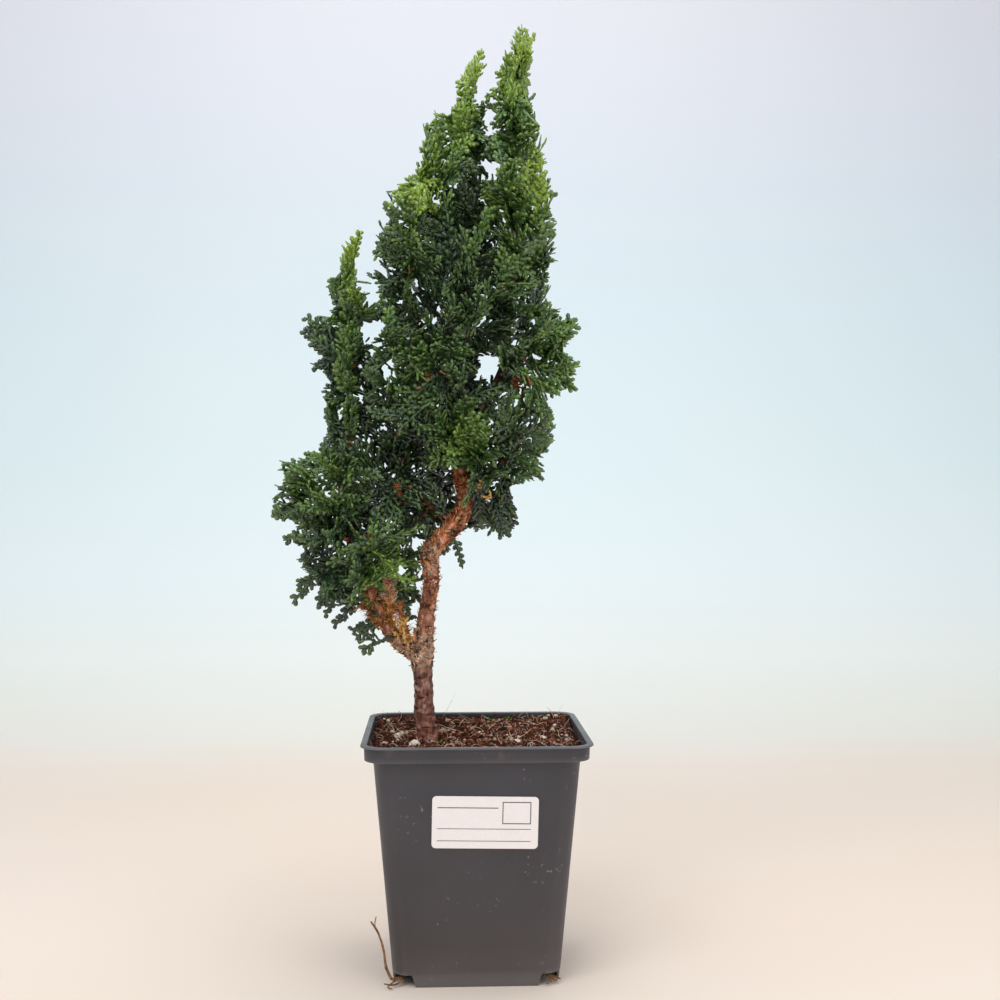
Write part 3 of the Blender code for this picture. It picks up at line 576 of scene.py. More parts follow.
def addLabel():
    batch = Batch()
    face = label["gap"] + label["thick"]
    rings = []
    for inset, out in ((0.0, label["gap"]), (0.0, face - label["edge"]), (label["edge"], face)):
        outline = labelOutline(inset)
        rings.append(onLabel(outline[:, 0], outline[:, 1], np.full(len(outline), out)))
    batch.add(*skin(rings))
    paperFaces = sum(len(face) for face in batch.faces)
    for x0, z0, x1, z1 in inkBars():
        ring = np.array([(x0, z0), (x1, z0), (x1, z1), (x0, z1)])
        heights = face - label["inkSunk"], face + label["inkRise"]
        batch.add(*skin([onLabel(ring[:, 0], ring[:, 1], np.full(4, out)) for out in heights]))
    total = sum(len(face) for face in batch.faces)
    paper, tree, shader = surface("labelPaper", 0.45)
    fibre = noiseRamp(tree, 900.0, 4.0, (0.3, (0.91, 0.865, 0.86)), (0.7, (0.95, 0.905, 0.90)))
    stain = noiseRamp(tree, 55.0, 4.0, (0.62, 0.0), (0.8, 0.12))
    coloured(tree, shader, mixed(tree, stain, fibre, (0.66, 0.60, 0.56)))
    bumped(tree, shader, noiseOf(tree, 1400.0, 2.0), 0.15, 0.03)
    ink, tree, shader = surface("labelInk", 0.6)
    grey = noiseRamp(tree, 1500.0, 2.0, (0.3, (0.05, 0.05, 0.06)), (0.75, (0.16, 0.15, 0.17)))
    coloured(tree, shader, grey)
    surfaceOf = (np.arange(total) >= paperFaces).astype(np.int32)
    addPiece("paperLabel", batch, [paper, ink], ["label"], "label_paper", smooth=False, surfaceOf=surfaceOf)


addLabel()
print("blank ruled label")


# Peat

peat = dict(
    seed=5, level=109.6, rough=1.9, around=170, rings=46, crumbs=230, smallCrumbs=520, fibres=1480,
    fibreLength=(3.0, 10.0), fibreWide=0.44, gap=0.3,
)
grains = {"perlite_front": (-5.0, -12.0, 2.6), "perlite_left": (-14.0, 12.0, 2.0),
          "perlite_back": (-19.0, 37.0, 1.7), "perlite_right": (47.0, 21.0, 1.8)}
# pale chips: x, y and radius
paleBits = [
    (-12, 16, 2.0), (-9.5, 18, 1.7), (-20, 42, 1.6), (-17, 22, 1.3), (43.4, -9, 1.9), (47, 1, 1.5),
    (59, 1, 1.6), (72, 6, 1.4), (44, 26, 1.3), (64, 44, 1.6), (70, 47, 1.9), (66, 49, 1.5), (52, 12, 1.2),
    (33, 30, 1.0), (20, -4, 1.0), (-16, -2, 1.1), (12, 22, 0.9), (66, 20, 1.4), (57, 33, 1.2),
    (50, 36, 1.0),
]
# light brown ones
tanBits = [
    (46, -12, 2.0), (43, -5, 1.4), (60, -2, 1.8), (71, -6, 1.6), (28, 14, 1.2), (10, -12, 1.2),
    (-18, 6, 1.1), (68, 30, 1.5),
]
# hollows in the peat: x, y, reach and depth
hollows = [(14, 36, 7.0, 1.8), (29, -10, 5.0, 2.2), (38, 8, 4.0, 1.2), (-2, 28, 5.0, 1.0)]
# x, y, length, width, turn in degrees, rise and paleness
straws = [
    (-9, -3, 24, 0.45, 103, 0.18, 0.9), (46, -4, 13, 0.5, 50, 0.2, 0.6), (62, 4, 8, 0.5, 160, 0.1, 0.7),
    (8, 46, 17, 0.2, 35, 1.2, 0.4), (-22, 40, 9, 0.22, 160, 0.9, 0.2), (69, 44, 9, 0.2, 20, 1.3, 0.3),
    (71, 22, 9, 0.2, 15, 1.2, 0.5), (55, 47, 6, 0.25, 100, 1.0, 0.2), (-21, 47, 7, 0.2, 120, 0.9, 0.1),
    (24, 48, 7, 0.35, 170, 0.3, 0.4), (35, -14, 9, 0.4, 20, 0.12, 0.5), (22, 10, 8, 0.35, 150, 0.2, 0.35),
]
# small green sprouts: x, y, how many blades and their length
sprouts = [
    (-20, 44, 5, 1.6), (7.2, -8, 4, 3.2), (35, 44, 4, 2.2), (44, 46, 5, 2.4), (64, 47, 4, 2.6),
    (3, 34, 3, 1.6),
]


def peatHeight(x, y):
    dx, dy = (x - pot["middle"]) / 50, y / 50
    swell = 0.9 * dy + 0.4 * dx + 0.6 * np.sin(3.1 * dx + 1) * np.cos(2.7 * dy) + 2.4 * np.maximum(dy, 0) ** 2
    for hx, hy, reach, depth in hollows:
        swell -= depth * np.exp(-((x - hx) ** 2 + (y - hy) ** 2) / reach**2)
    return peat["level"] + 0.6 + swell + 0.8 * np.exp(-((x**2 + (y - 2) ** 2) / 120))


def roughness(points, scale, seed):
    spots = (np.asarray(points) / scale + (0, 0, seed)).tolist()
    return np.array([noise.fractal(spot, 0.8, 2.1, 4) for spot in spots])


def lumps(rng, centres, radii, flatness=0.75, detail=1):
    # uneven grains, each a jittered and turned icosphere
    work = bmesh.new()
    bmesh.ops.create_icosphere(work, subdivisions=detail, radius=1.0)
    ball = np.array([vertex.co[:] for vertex in work.verts])
    corners = np.array([[v.index for v in face.verts] for face in work.faces])
    work.free()
    many, count = len(centres), len(ball)
    turn = units(rng.normal(size=(many, 4)))
    w, x, y, z = turn.T
    spin = np.stack([
        np.stack([1 - 2 * (y * y + z * z), 2 * (x * y - z * w), 2 * (x * z + y * w)], -1),
        np.stack([2 * (x * y + z * w), 1 - 2 * (x * x + z * z), 2 * (y * z - x * w)], -1),
        np.stack([2 * (x * z - y * w), 2 * (y * z + x * w), 1 - 2 * (x * x + y * y)], -1),
    ], 1)
    shape = ball[None] * rng.uniform(0.72, 1.12, (many, count, 1))
    shape = shape * rng.uniform((0.7, 0.7, 0.5), (1.2, 1.2, 0.9), (many, 1, 3))
    points = np.einsum("nij,nvj->nvi", spin, shape) * np.asarray(radii)[:, None, None]
    points[:, :, 2] *= flatness
    points += np.asarray(centres)[:, None]
    faces = (corners[None] + (np.arange(many) * count)[:, None, None]).reshape(-1, 3)
    return points.reshape(-1, 3), [faces], count


def onPeat(rng, many, spread=49.5):
    x = rng.uniform(-spread, spread, many) + pot["middle"]
    y = rng.uniform(-spread, spread, many)
    return np.column_stack([x, y, peatHeight(x, y)])


def insidePot(points, reach):
    across = np.clip(points[:, 0], pot["middle"] - reach, pot["middle"] + reach)
    return np.column_stack([across, np.clip(points[:, 1], -reach, reach), points[:, 2]])


def peatSurface():
    made, tree, shader = surface("peatSoil", 0.95)
    tone, pale = value(tree, "tone"), value(tree, "pale")
    base = ramp(tree, tone, (0.0, (0.010, 0.0035, 0.002)), (0.35, (0.090, 0.026, 0.012)),
                (0.62, (0.33, 0.125, 0.065)), (0.85, (0.76, 0.48, 0.32)), (1.0, (0.96, 0.82, 0.68)))
    base = shaded(tree, base, noiseRamp(tree, 700.0, 4.0, (0.32, 0.3), (0.5, 0.9), (0.70, 1.7)))
    chip = noiseRamp(tree, 800.0, 3.0, (0.3, (0.60, 0.43, 0.33)), (0.7, (0.92, 0.81, 0.70)))
    base = mixed(tree, pale, base, chip)
    coloured(tree, shader, mixed(tree, value(tree, "green"), base, (0.10, 0.26, 0.03)))
    shader.inputs["Specular IOR Level"].default_value = 0.12
    bumped(tree, shader, noiseOf(tree, 900.0, 6.0), 0.6, 0.5)
    return made


def evenRing(width, z, radius, count):
    # a rounded square with evenly spaced points
    ring = roundedSquare(width, z, radius)
    closed = np.vstack([ring, ring[0]])
    run = runAlong(closed)
    return pointsAt(np.arange(count) * run[-1] / count, run, closed)


def addPeat():
    rng = np.random.default_rng(peat["seed"])
    batch = Batch("tone", "pale", "green")
    inset = 2 * (pot["wall"] + peat["gap"])
    around, corner = peat["around"], pot["corner"] * 0.9
    ledge = pot["collarLow"] + pot["wall"]
    rings = [evenRing(wallWidth(z) - inset, z, corner, around) for z in (6.7, 55.0, 100.0)]
    rings.append(evenRing(pot["shoulder"] - inset, ledge + 0.15, corner, around))
    for step in range(peat["rings"]):
        share = 1 - (step / peat["rings"]) ** 1.1
        ring = evenRing((pot["collar"] - inset - 0.4) * share, 0.0, corner, around)
        ring[:, 2] = peatHeight(ring[:, 0], ring[:, 1])
        lift = peat["rough"] * roughness(ring, 2.4, 3.0) + 0.9 * roughness(ring, 7.0, 8.0)
        ring[:, 2] = np.maximum(ring[:, 2] + lift, ledge + 0.2)
        rings.append(ring)
    points, faces = skin(rings)
    batch.add(points, faces, tone=np.clip(0.24 + 0.45 * roughness(points, 3.0, 1.0), 0, 0.7))

    big = onPeat(rng, peat["crumbs"])
    size = np.minimum(rng.gamma(3.0, 0.33, len(big)) + 0.3, 2.4)
    toWall = pot["collar"] / 2 - pot["wall"] - np.abs(big[:, :2] - (pot["middle"], 0)).max(1)
    size = np.minimum(size, toWall)
    points, faces, each = lumps(rng, big + (0, 0, 0.4), size)
    batch.add(points, faces, tone=np.repeat(rng.beta(2.2, 2.6, len(big)), each))
    small = onPeat(rng, peat["smallCrumbs"])
    points, faces, each = lumps(rng, small + (0, 0, 0.5), rng.uniform(0.3, 0.85, len(small)), detail=0)
    batch.add(points, faces, tone=np.repeat(rng.beta(2.0, 1.8, len(small)), each))
    for bits, tone, pale in ((paleBits, 0.9, 0.85), (tanBits, 1.0, 0.22)):
        bits = np.array(bits, float)
        centres = np.column_stack([bits[:, :2], peatHeight(bits[:, 0], bits[:, 1]) + 0.45 * bits[:, 2]])
        points, faces, each = lumps(rng, centres, bits[:, 2])
        batch.add(points, faces, tone=tone, pale=pale * np.repeat(rng.uniform(0.7, 1.1, len(bits)), each))

    # curly fibres that stick out of the peat
    start = onPeat(rng, peat["fibres"], 50.0)
    many = len(start)
    way = rng.uniform(0, 2 * math.pi, many)
    ahead = units(np.column_stack([np.cos(way), np.sin(way), rng.uniform(0.1, 1.4, many)]))
    aside = anyAcross(rng, ahead)
    aside *= np.where((aside[:, 2] > 0) & (rng.random(many) < 0.7), -1, 1)[:, None]
    points, faces = curls(start - (0, 0, 0.2), ahead, aside, rng.uniform(*peat["fibreLength"], many),
                          rng.uniform(0.7, 4.6, many), rng.normal(0, 0.18, many),
                          peat["fibreWide"] * rng.uniform(0.28, 0.68, many))
    points = insidePot(points, pot["collar"] / 2 - pot["wall"] - 0.3)
    points[:, 2] = np.maximum(points[:, 2], ledge + 0.3)
    each = len(points) // many
    batch.add(points, faces, tone=np.repeat(rng.beta(1.7, 1.2, many), each),
              pale=np.repeat(np.where(rng.random(many) < 0.18, 0.8, 0.0), each))

    # pale straws, hairs at the rim and small green sprouts
    triangle = np.array([(1, 0), (-0.5, 0.87), (-0.5, -0.87)])
    taper = [(t, 1.1 - 0.7 * t, 1.1 - 0.7 * t) for t in np.linspace(0, 1, 6)]
    for x, y, length, wide, turn, rise, pale in straws:
        ahead = unit(np.array((math.cos(math.radians(turn)), math.sin(math.radians(turn)), rise)))
        foot = (x, y, peatHeight(x, y) + 0.4)
        row = stripRow(foot, ahead, anyAcross(rng, ahead), length, wide, wide, 0.05, 0.04)
        points, faces, tip = strips(row[None], triangle, taper)
        batch.add(insidePot(points, pot["flange"] / 2 - 0.5), faces, tone=0.8, pale=pale)
    flat = np.array([(1, 0), (0, 0.5), (-1, 0), (0, -0.5)])
    blade = [(0, 0.3, 1), (0.2, 0.7, 1), (0.45, 1.0, 1), (0.7, 0.9, 0.8), (0.9, 0.5, 0.6), (1, 0.1, 0.3)]
    rows = []
    for x, y, many, length in sprouts:
        for index in range(many):
            turn = 2.4 * index + rng.uniform(-0.4, 0.4)
            ahead = unit(np.array((math.cos(turn), math.sin(turn), rng.uniform(0.8, 2.0))))
            foot = (x, y, peatHeight(x, y))
            tall = length * rng.uniform(0.8, 1.2)
            rows.append(stripRow(foot, ahead, (0, 0, 1), tall, 0.9, 0.25, 0.0, -0.3))
    points, faces, tip = strips(np.array(rows), flat, blade)
    batch.add(points, faces, tone=0.5, green=1.0)
    addPiece("peatSoil", batch, [peatSurface()], ["soil"], "peat")
    return batch.triangles()


def addGrains():
    made, tree, shader = surface("perliteGrain", 0.9)
    cream = noiseRamp(tree, 700.0, 5.0, (0.25, (0.55, 0.41, 0.32)), (0.5, (0.88, 0.79, 0.70)),
                      (0.75, (0.96, 0.91, 0.84)))
    coloured(tree, shader, cream)
    bumped(tree, shader, noiseOf(tree, 1100.0, 5.0), 0.7, 0.4)
    for name, (x, y, radius) in grains.items():
        rng = np.random.default_rng(int(10 * radius))
        points, faces, each = lumps(rng, [(0.0, 0.0, 0.0)], [1.0], 0.9, 4)
        points = units(points) * radius * (0.98 + 0.30 * roughness(units(points), 0.9, radius))[:, None]
        points += (x, y, peat["level"] + 0.5)
        batch = Batch()
        batch.add(points, faces)
        addPiece(name + "_grain", batch, [made], [name], "perlite")


print("peat with fibres and crumbs:", addPeat(), "triangles")
addGrains()


# Roots at the drain corners

rootLines = {
    "root_strand_left": [
        (-8.5, -33.0, 5.2, 0.9), (-12.5, -37.5, 4.0, 0.8), (-15.5, -42.0, 5.5, 0.7),
        (-18.0, -43.5, 12.0, 0.6), (-19.0, -45.0, 20.0, 0.55), (-21.5, -45.5, 28.0, 0.5),
        (-25.0, -44.0, 33.0, 0.45),
    ],
    "root_stub_right": [(57.5, -33.0, 5.2, 1.0), (60.0, -36.5, 3.6, 0.9), (63.0, -39.0, 2.6, 0.7)],
}
rootBits = {
    "root_strand_left": [
        [(-9, -34, 4.6, 0.6), (-11, -38, 2.4, 0.5), (-15, -40, 1.6, 0.45), (-19, -41, 2.6, 0.3)],
        [(-10, -36, 4.2, 0.5), (-14, -40, 3.4, 0.45), (-17, -42, 1.4, 0.4), (-15, -43, 0.8, 0.3)],
        [(-15.5, -42, 5.5, 0.45), (-17, -43, 8, 0.35), (-18.6, -42.5, 11, 0.25)],
        [(-21.5, -45.5, 28, 0.3), (-23, -46, 32, 0.25), (-22.4, -46.5, 36, 0.2)],
    ],
    "root_stub_right": [
        [(58, -34, 4.8, 0.6), (62, -36, 3.4, 0.5), (65, -37, 2.2, 0.35)],
        [(59, -35, 4.0, 0.5), (60, -39, 2.2, 0.4), (58, -41, 1.2, 0.3)],
    ],
}


def bentTube(line, sides, rough, seed, scale):
    # rings round a path, uneven by a smooth noise
    rings = []
    for point, radius, outward in ringsRound(line, sides):
        spread = 1 + rough * roughness((point + radius * outward) * (1, 1, 0.45), scale, seed)
        rings.append(point + radius * spread[:, None] * outward)
    return rings


def addRoots():
    made, tree, shader = surface("rootSkin", 0.8)
    brown = noiseRamp(tree, 500.0, 4.0, (0.3, (0.10, 0.045, 0.022)), (0.55, (0.24, 0.12, 0.055)),
                      (0.8, (0.42, 0.27, 0.13)))
    coloured(tree, shader, brown)
    bumped(tree, shader, noiseOf(tree, 900.0, 4.0, stretch=(1, 1, 0.4)), 0.6, 0.3)
    for name, line in rootLines.items():
        batch = Batch()
        batch.add(*skin(bentTube(smoothPath(line, 8), 10, 0.25, 2.0, 2.0)))
        for bit in rootBits[name]:
            batch.add(*skin(bentTube(smoothPath(bit, 6), 6, 0.2, 5.0, 1.5)))
        addPiece(name + "_fine", batch, [made], [name], "root")


addRoots()
print("roots")


# Wood: each limb's middle line and radius, as x, y, z, r

wood = dict(
    seed=21, trunkSides=40, limbSides=12, trunkSteps=14, limbSteps=7, rough=0.22, slim=0.91, lean=1.1,
    narrow=0.16, soilZ=112, footTop=124, forkZ=154, forkReach=6, forkSwell=0.10, flakes=1250,
    thickBareTo=250, thinBareTo=238, barkHeights=(100, 280), shagHeights=(112, 148, 158, 175, 250),
    shag=(0.45, 0.5, 0.9, 1.0, 1.15), paleFrom=145, paleTo=165,
)
# the trunk's knee: height, how far it steps aside there and how much thicker it is
knee = [
    (158, 0, 1), (166, -0.6, 1), (175, -1.0, 1), (183, -0.2, 1), (192, 0.2, 1), (198, -0.6, 1.06),
    (204, -1.9, 1.28), (210, -0.5, 1.09), (221, 3.0, 1.06), (229, 2.8, 1.06), (240, 0.8, 1), (250, 0, 1),
]
# the lower part of the left branch leans further out, and the right leader passes beside a hole in the crown
lowBranch = [(152, -1.5), (158, -2.2), (165, -3.4), (174, -4.0), (183, -2.4), (192, 0)]
highLeader = [(276, 0), (290, 3.6), (303, 3.2), (318, 0)]
limbs = {
    "trunk": [
        (0, 2, 99, 6.3), (0, 2, 111, 6.5), (-0.5, 1.5, 122, 5.4), (-0.8, 1, 138, 5.0), (-1.5, 0, 153, 5.6),
        (0, 0, 163, 4.8), (2.5, 0, 181, 4.2), (3.5, 0, 201, 4.2), (6, 0, 209, 4.4), (12.5, 1, 218, 4.4),
        (18, 2, 231, 4.2), (17.5, 3, 246, 3.6), (18.6, 4, 271, 3.0), (21.6, 6, 317, 2.2), (20.6, 5, 362, 1.6),
        (18, 3, 397, 1.3), (19.5, 2, 422, 1.1), (24, 1, 438, 0.9),
    ],
    "right_leader": [
        (17.8, 3, 248, 2.8), (27, -1, 276, 2.4), (39, -4, 308, 2.0), (45, -5, 352, 1.6), (45, -4, 392, 1.3),
        (44, -3, 422, 1.1), (46.5, -2, 447, 0.9),
    ],
    "left_shoulder": [
        (17.8, 3, 244, 2.4), (8, 0, 268, 2.0), (-3, -3, 295, 1.7), (-8, -4, 331, 1.3), (-6, -3, 364, 1.1),
        (1, -2, 390, 0.9),
    ],
    "back_limb": [(18, 3, 250, 2.3), (18, 16, 274, 2.0), (19, 25, 310, 1.6), (21, 25, 352, 1.1)],
    "right_side_limb": [(37, -3, 303, 1.7), (46, -7, 306, 1.4), (53, -9, 310, 1.1)],
    "front_limb": [(17.8, 3, 242, 2.2), (19, -12, 262, 1.9), (17, -22, 292, 1.5), (13, -23, 334, 1.0)],
    "low_right_limb": [(18, 2, 236, 2.2), (30, -2, 242, 1.9), (39, -4, 250, 1.5), (45, -5, 260, 1.1)],
    "low_left_limb": [(14, 1, 221, 2.0), (3, 3, 228, 1.7), (-9, 5, 240, 1.4), (-14, 5, 262, 1.0)],
    "left_branch": [
        (-1.5, 0, 152, 3.6), (-11, -1, 160, 3.6), (-18.5, -3, 174, 3.3), (-25, -5, 183, 3.0),
        (-30.5, -6, 194, 2.6), (-35, -6, 216, 2.3), (-37.5, -6, 241, 2.0), (-37.5, -5, 281, 1.6),
        (-36.5, -3, 317, 1.2), (-35.5, -2, 340, 0.9),
    ],
    "left_side_limb": [(-34, -6, 208, 1.9), (-43, -9, 216, 1.6), (-54, -10, 225, 1.2)],
    "left_back_limb": [(-36, -6, 222, 1.8), (-42, 5, 238, 1.5), (-45, 12, 262, 1.1)],
}
limbNames = list(limbs)
# dead tufts on the bark: x, z where they stand, how many blades, their length and how yellow they are
deadTufts = [
    (-19, 176, 60, 5.0, 0.5), (-15, 170, 40, 4.5, 0.6), (-24, 185, 60, 5.5, 0.35), (-29, 192, 50, 5.5, 0.25),
    (-9, 163, 26, 3.5, 0.85), (-6, 159, 22, 3.0, 0.95), (-32, 200, 30, 5.0, 0.25),
    (17, 238, 44, 4.0, 0.05), (19, 246, 40, 4.0, 0.0), (18, 256, 30, 4.0, 0.1), (20, 228, 30, 3.4, 0.25),
    (1.5, 176, 30, 2.4, 0.5), (4, 196, 24, 2.4, 0.4), (3, 186, 28, 2.2, 0.45), (0.5, 168, 30, 2.4, 0.35),
    (11, 207, 46, 3.6, 0.35), (-4, 152, 20, 2.2, 0.9), (-9, 152, 16, 2.6, 0.0), (13, 217, 40, 3.2, 0.2),
    (6, 206, 30, 3.0, 0.4), (5, 190, 44, 2.0, 0.2), (-1, 181, 44, 2.0, 0.15), (3, 171, 44, 2.0, 0.3),
    (0, 193, 34, 2.2, 0.3), (5, 178, 44, 2.0, 0.2), (16, 231, 50, 4.0, 0.0), (18, 242, 60, 4.2, 0.0),
]
# brushes of dead needles on short twigs: start, end, how many needles, their length, how yellow and how pale
brushes = [
    ((-16.5, -3, 166), (-17.5, -7, 180), 150, 5.5, 0.65, 0.05),
    ((-17.5, -7, 177), (-18.5, -9, 194), 190, 6.0, 0.45, 0.75),
    ((-8.5, -3, 163), (-13.5, -7, 179), 130, 4.6, 0.05, 0.15),
    ((-19, -4, 167), (-31, -8, 179), 170, 5.0, 0.15, 0.12),
    ((-5.5, -2, 158), (-5, -4, 167), 60, 1.8, 0.35, 0.95),
    ((-12, -4, 164), (-12, -7, 170), 50, 3.2, 0.95, 0.10),
    ((-8, -3, 160), (-8.5, -6, 165), 50, 2.8, 1.0, 0.05),
    ((-28, -10, 198), (-27.5, -19, 214), 70, 3.0, 0.30, 0.05),
    ((1, -20, 285), (2.5, -24, 292), 70, 2.8, 0.25, 0.05),
    ((-12, -2, 230), (-14, -6, 239), 60, 3.0, 0.0, 0.0),
    ((44, -10, 287), (48, -16, 294), 70, 2.8, 0.15, 0.05),
]
# pale curled scars on the bark: x, z, how far they spread and how many
scars = [
    (-2, 156, 5, 80), (2.5, 159, 5, 60), (-8, 159, 5, 60), (-14, 165, 4, 30), (0, 203, 5, 80),
    (5, 207, 5, 40),
]


def barkSurface():
    made, tree, shader = surface("barkStrips", 0.85)
    low, high = wood["barkHeights"]
    height = math2(tree, "DIVIDE", math2(tree, "SUBTRACT", heightOf(tree), low * mm), (high - low) * mm)
    # the last stops darken the bark towards black up inside the crown: painted shade
    base = ramp(tree, height, (0.0, (0.34, 0.105, 0.06)), (0.12, (0.27, 0.115, 0.085)),
                (0.24, (0.25, 0.115, 0.090)), (0.28, (0.38, 0.23, 0.15)),
                (0.34, (0.36, 0.20, 0.13)), (0.39, (0.40, 0.16, 0.105)),
                (0.53, (0.42, 0.155, 0.10)), (0.57, (0.42, 0.22, 0.13)), (0.61, (0.44, 0.17, 0.09)),
                (0.80, (0.38, 0.09, 0.03)), (0.88, (0.15, 0.06, 0.025)), (1.0, (0.055, 0.050, 0.020)))
    strip = noiseRamp(tree, 420.0, 5.0, (0.30, 0.25), (0.5, 0.9), (0.68, 1.9), stretch=(1.0, 1.0, 0.6))
    crack = noiseRamp(tree, 260.0, 4.0, (0.36, 0.15), (0.47, 1.0), stretch=(0.6, 0.6, 1.6))
    base = shaded(tree, shaded(tree, base, strip), crack)
    ashen = noiseRamp(tree, 230.0, 5.0, (0.54, 0.0), (0.64, 0.7))
    base = mixed(tree, ashen, base, (0.60, 0.42, 0.34))
    orange = mixed(tree, value(tree, "yellow"), (0.58, 0.175, 0.045), (0.84, 0.48, 0.09))
    flake = mixed(tree, value(tree, "paleness"), orange, (0.82, 0.64, 0.48))
    coloured(tree, shader, mixed(tree, value(tree, "flake"), base, shaded(tree, flake, strip)))
    shader.inputs["Specular IOR Level"].default_value = 0.3
    bumped(tree, shader, noiseOf(tree, 480.0, 6.0, stretch=(1.0, 1.0, 0.9)), 0.9, 0.9)
    return made


def addNeedles(batch, rng, bark):
    # dead orange and yellow needles, in tufts on the bark and in brushes, and pale curled scars
    base, ahead, length, turn, radius, yellow, pale = [], [], [], [], [], [], []

    def near(x, z, count):
        return bark[np.argsort((bark[:, 0] - x) ** 2 + (bark[:, 2] - z) ** 2)[:count]]

    def grow(places, ways, longest, bend, thick, tint, paleness):
        many = len(places)
        base.append(places)
        ahead.append(ways)
        length.append(longest * rng.uniform(0.4, 1.1, many))
        turn.append(rng.uniform(*bend, many))
        radius.append(rng.uniform(*thick, many))
        yellow.append(np.clip(tint + rng.normal(0, 0.16, many), 0, 1))
        pale.append(np.clip(paleness * rng.uniform(0.2, 1.8, many), 0, 1))

    for x, z, many, longest, tint in deadTufts:
        spot = near(x, z, 12)[rng.integers(12, size=many)]
        out = units(rng.normal(size=(many, 3)) * (1, 0.9, 0.8) + (0, -0.35, 0.35))
        roots = spot[:, :3] + out * spot[:, 3:] * 0.85
        grow(roots, units(out + (0, 0, 0.5)), longest, (0.2, 1.6), (0.18, 0.36), tint, 0.12)
    for start, end, many, longest, tint, paleness in brushes:
        start, end = np.array(start, float), np.array(end, float)
        along = unit(end - start)
        twig = np.linspace(0, 1, 8)[:, None]
        path = np.hstack([start + (end - start) * twig, 1.3 - 0.8 * twig])
        batch.add(*skin(bentTube(path, 7, 0.2, 3.0, 1.5)), flake=0.6, yellow=0.1)
        share = rng.uniform(0.1, 1.0, many)[:, None]
        out = anyAcross(rng, np.broadcast_to(along, (many, 3)))
        ways = units(along * rng.uniform(0.2, 1.1, (many, 1)) + out)
        roots = start + (end - start) * share + out * 0.6
        grow(roots, ways, longest, (0.2, 1.8), (0.17, 0.34), tint, paleness)
    for x, z, spread, many in scars:
        spot = near(x, z, 30)[rng.integers(30, size=many)]
        out = units(rng.normal(size=(many, 3)) * (1, 1, 0.3) + (0, -0.8, 0))
        roots = spot[:, :3] + out * spot[:, 3:] * 1.02
        grow(roots, anyAcross(rng, out), spread * 0.75, (1.5, 4.0), (0.3, 0.55), 0.2, 1.0)
    base, ahead = np.vstack(base), np.vstack(ahead)
    length, turn, radius, yellow, pale = (np.concatenate(v) for v in (length, turn, radius, yellow, pale))
    aside = anyAcross(rng, ahead)
    drift = rng.normal(0, 0.1, len(base))
    points, faces = curls(base, ahead, aside, length, turn, drift, radius, 5)
    each = len(points) // len(base)
    batch.add(points, faces, flake=0.97, yellow=np.repeat(yellow, each), paleness=np.repeat(pale, each))


def shapedLimb(name, thick):
    # the limb's line, fitted to the bends and swellings that the photograph shows
    line = smoothPath(limbs[name], wood["trunkSteps"] if thick else wood["limbSteps"])
    if name == "trunk":
        line[:, 3] *= np.where(line[:, 2] > wood["soilZ"], wood["slim"], 1)
        line[:, 3] *= 1 + wood["forkSwell"] * np.exp(-((line[:, 2] - wood["forkZ"]) / wood["forkReach"]) ** 2)
        line[:, 0] += np.interp(line[:, 2], *np.array(knee)[:, :2].T)
        line[:, 3] *= np.interp(line[:, 2], *np.array(knee)[:, ::2].T)
        low = np.interp(line[:, 2], (wood["soilZ"], wood["footTop"]), (1.0, 0.0))
        line[:, 0] += wood["lean"] * low
        line[:, 3] *= 1 - wood["narrow"] * low
    if name in ("left_branch", "right_leader"):
        line[:, 0] += np.interp(line[:, 2], *zip(*(lowBranch if thick else highLeader)))
    return line


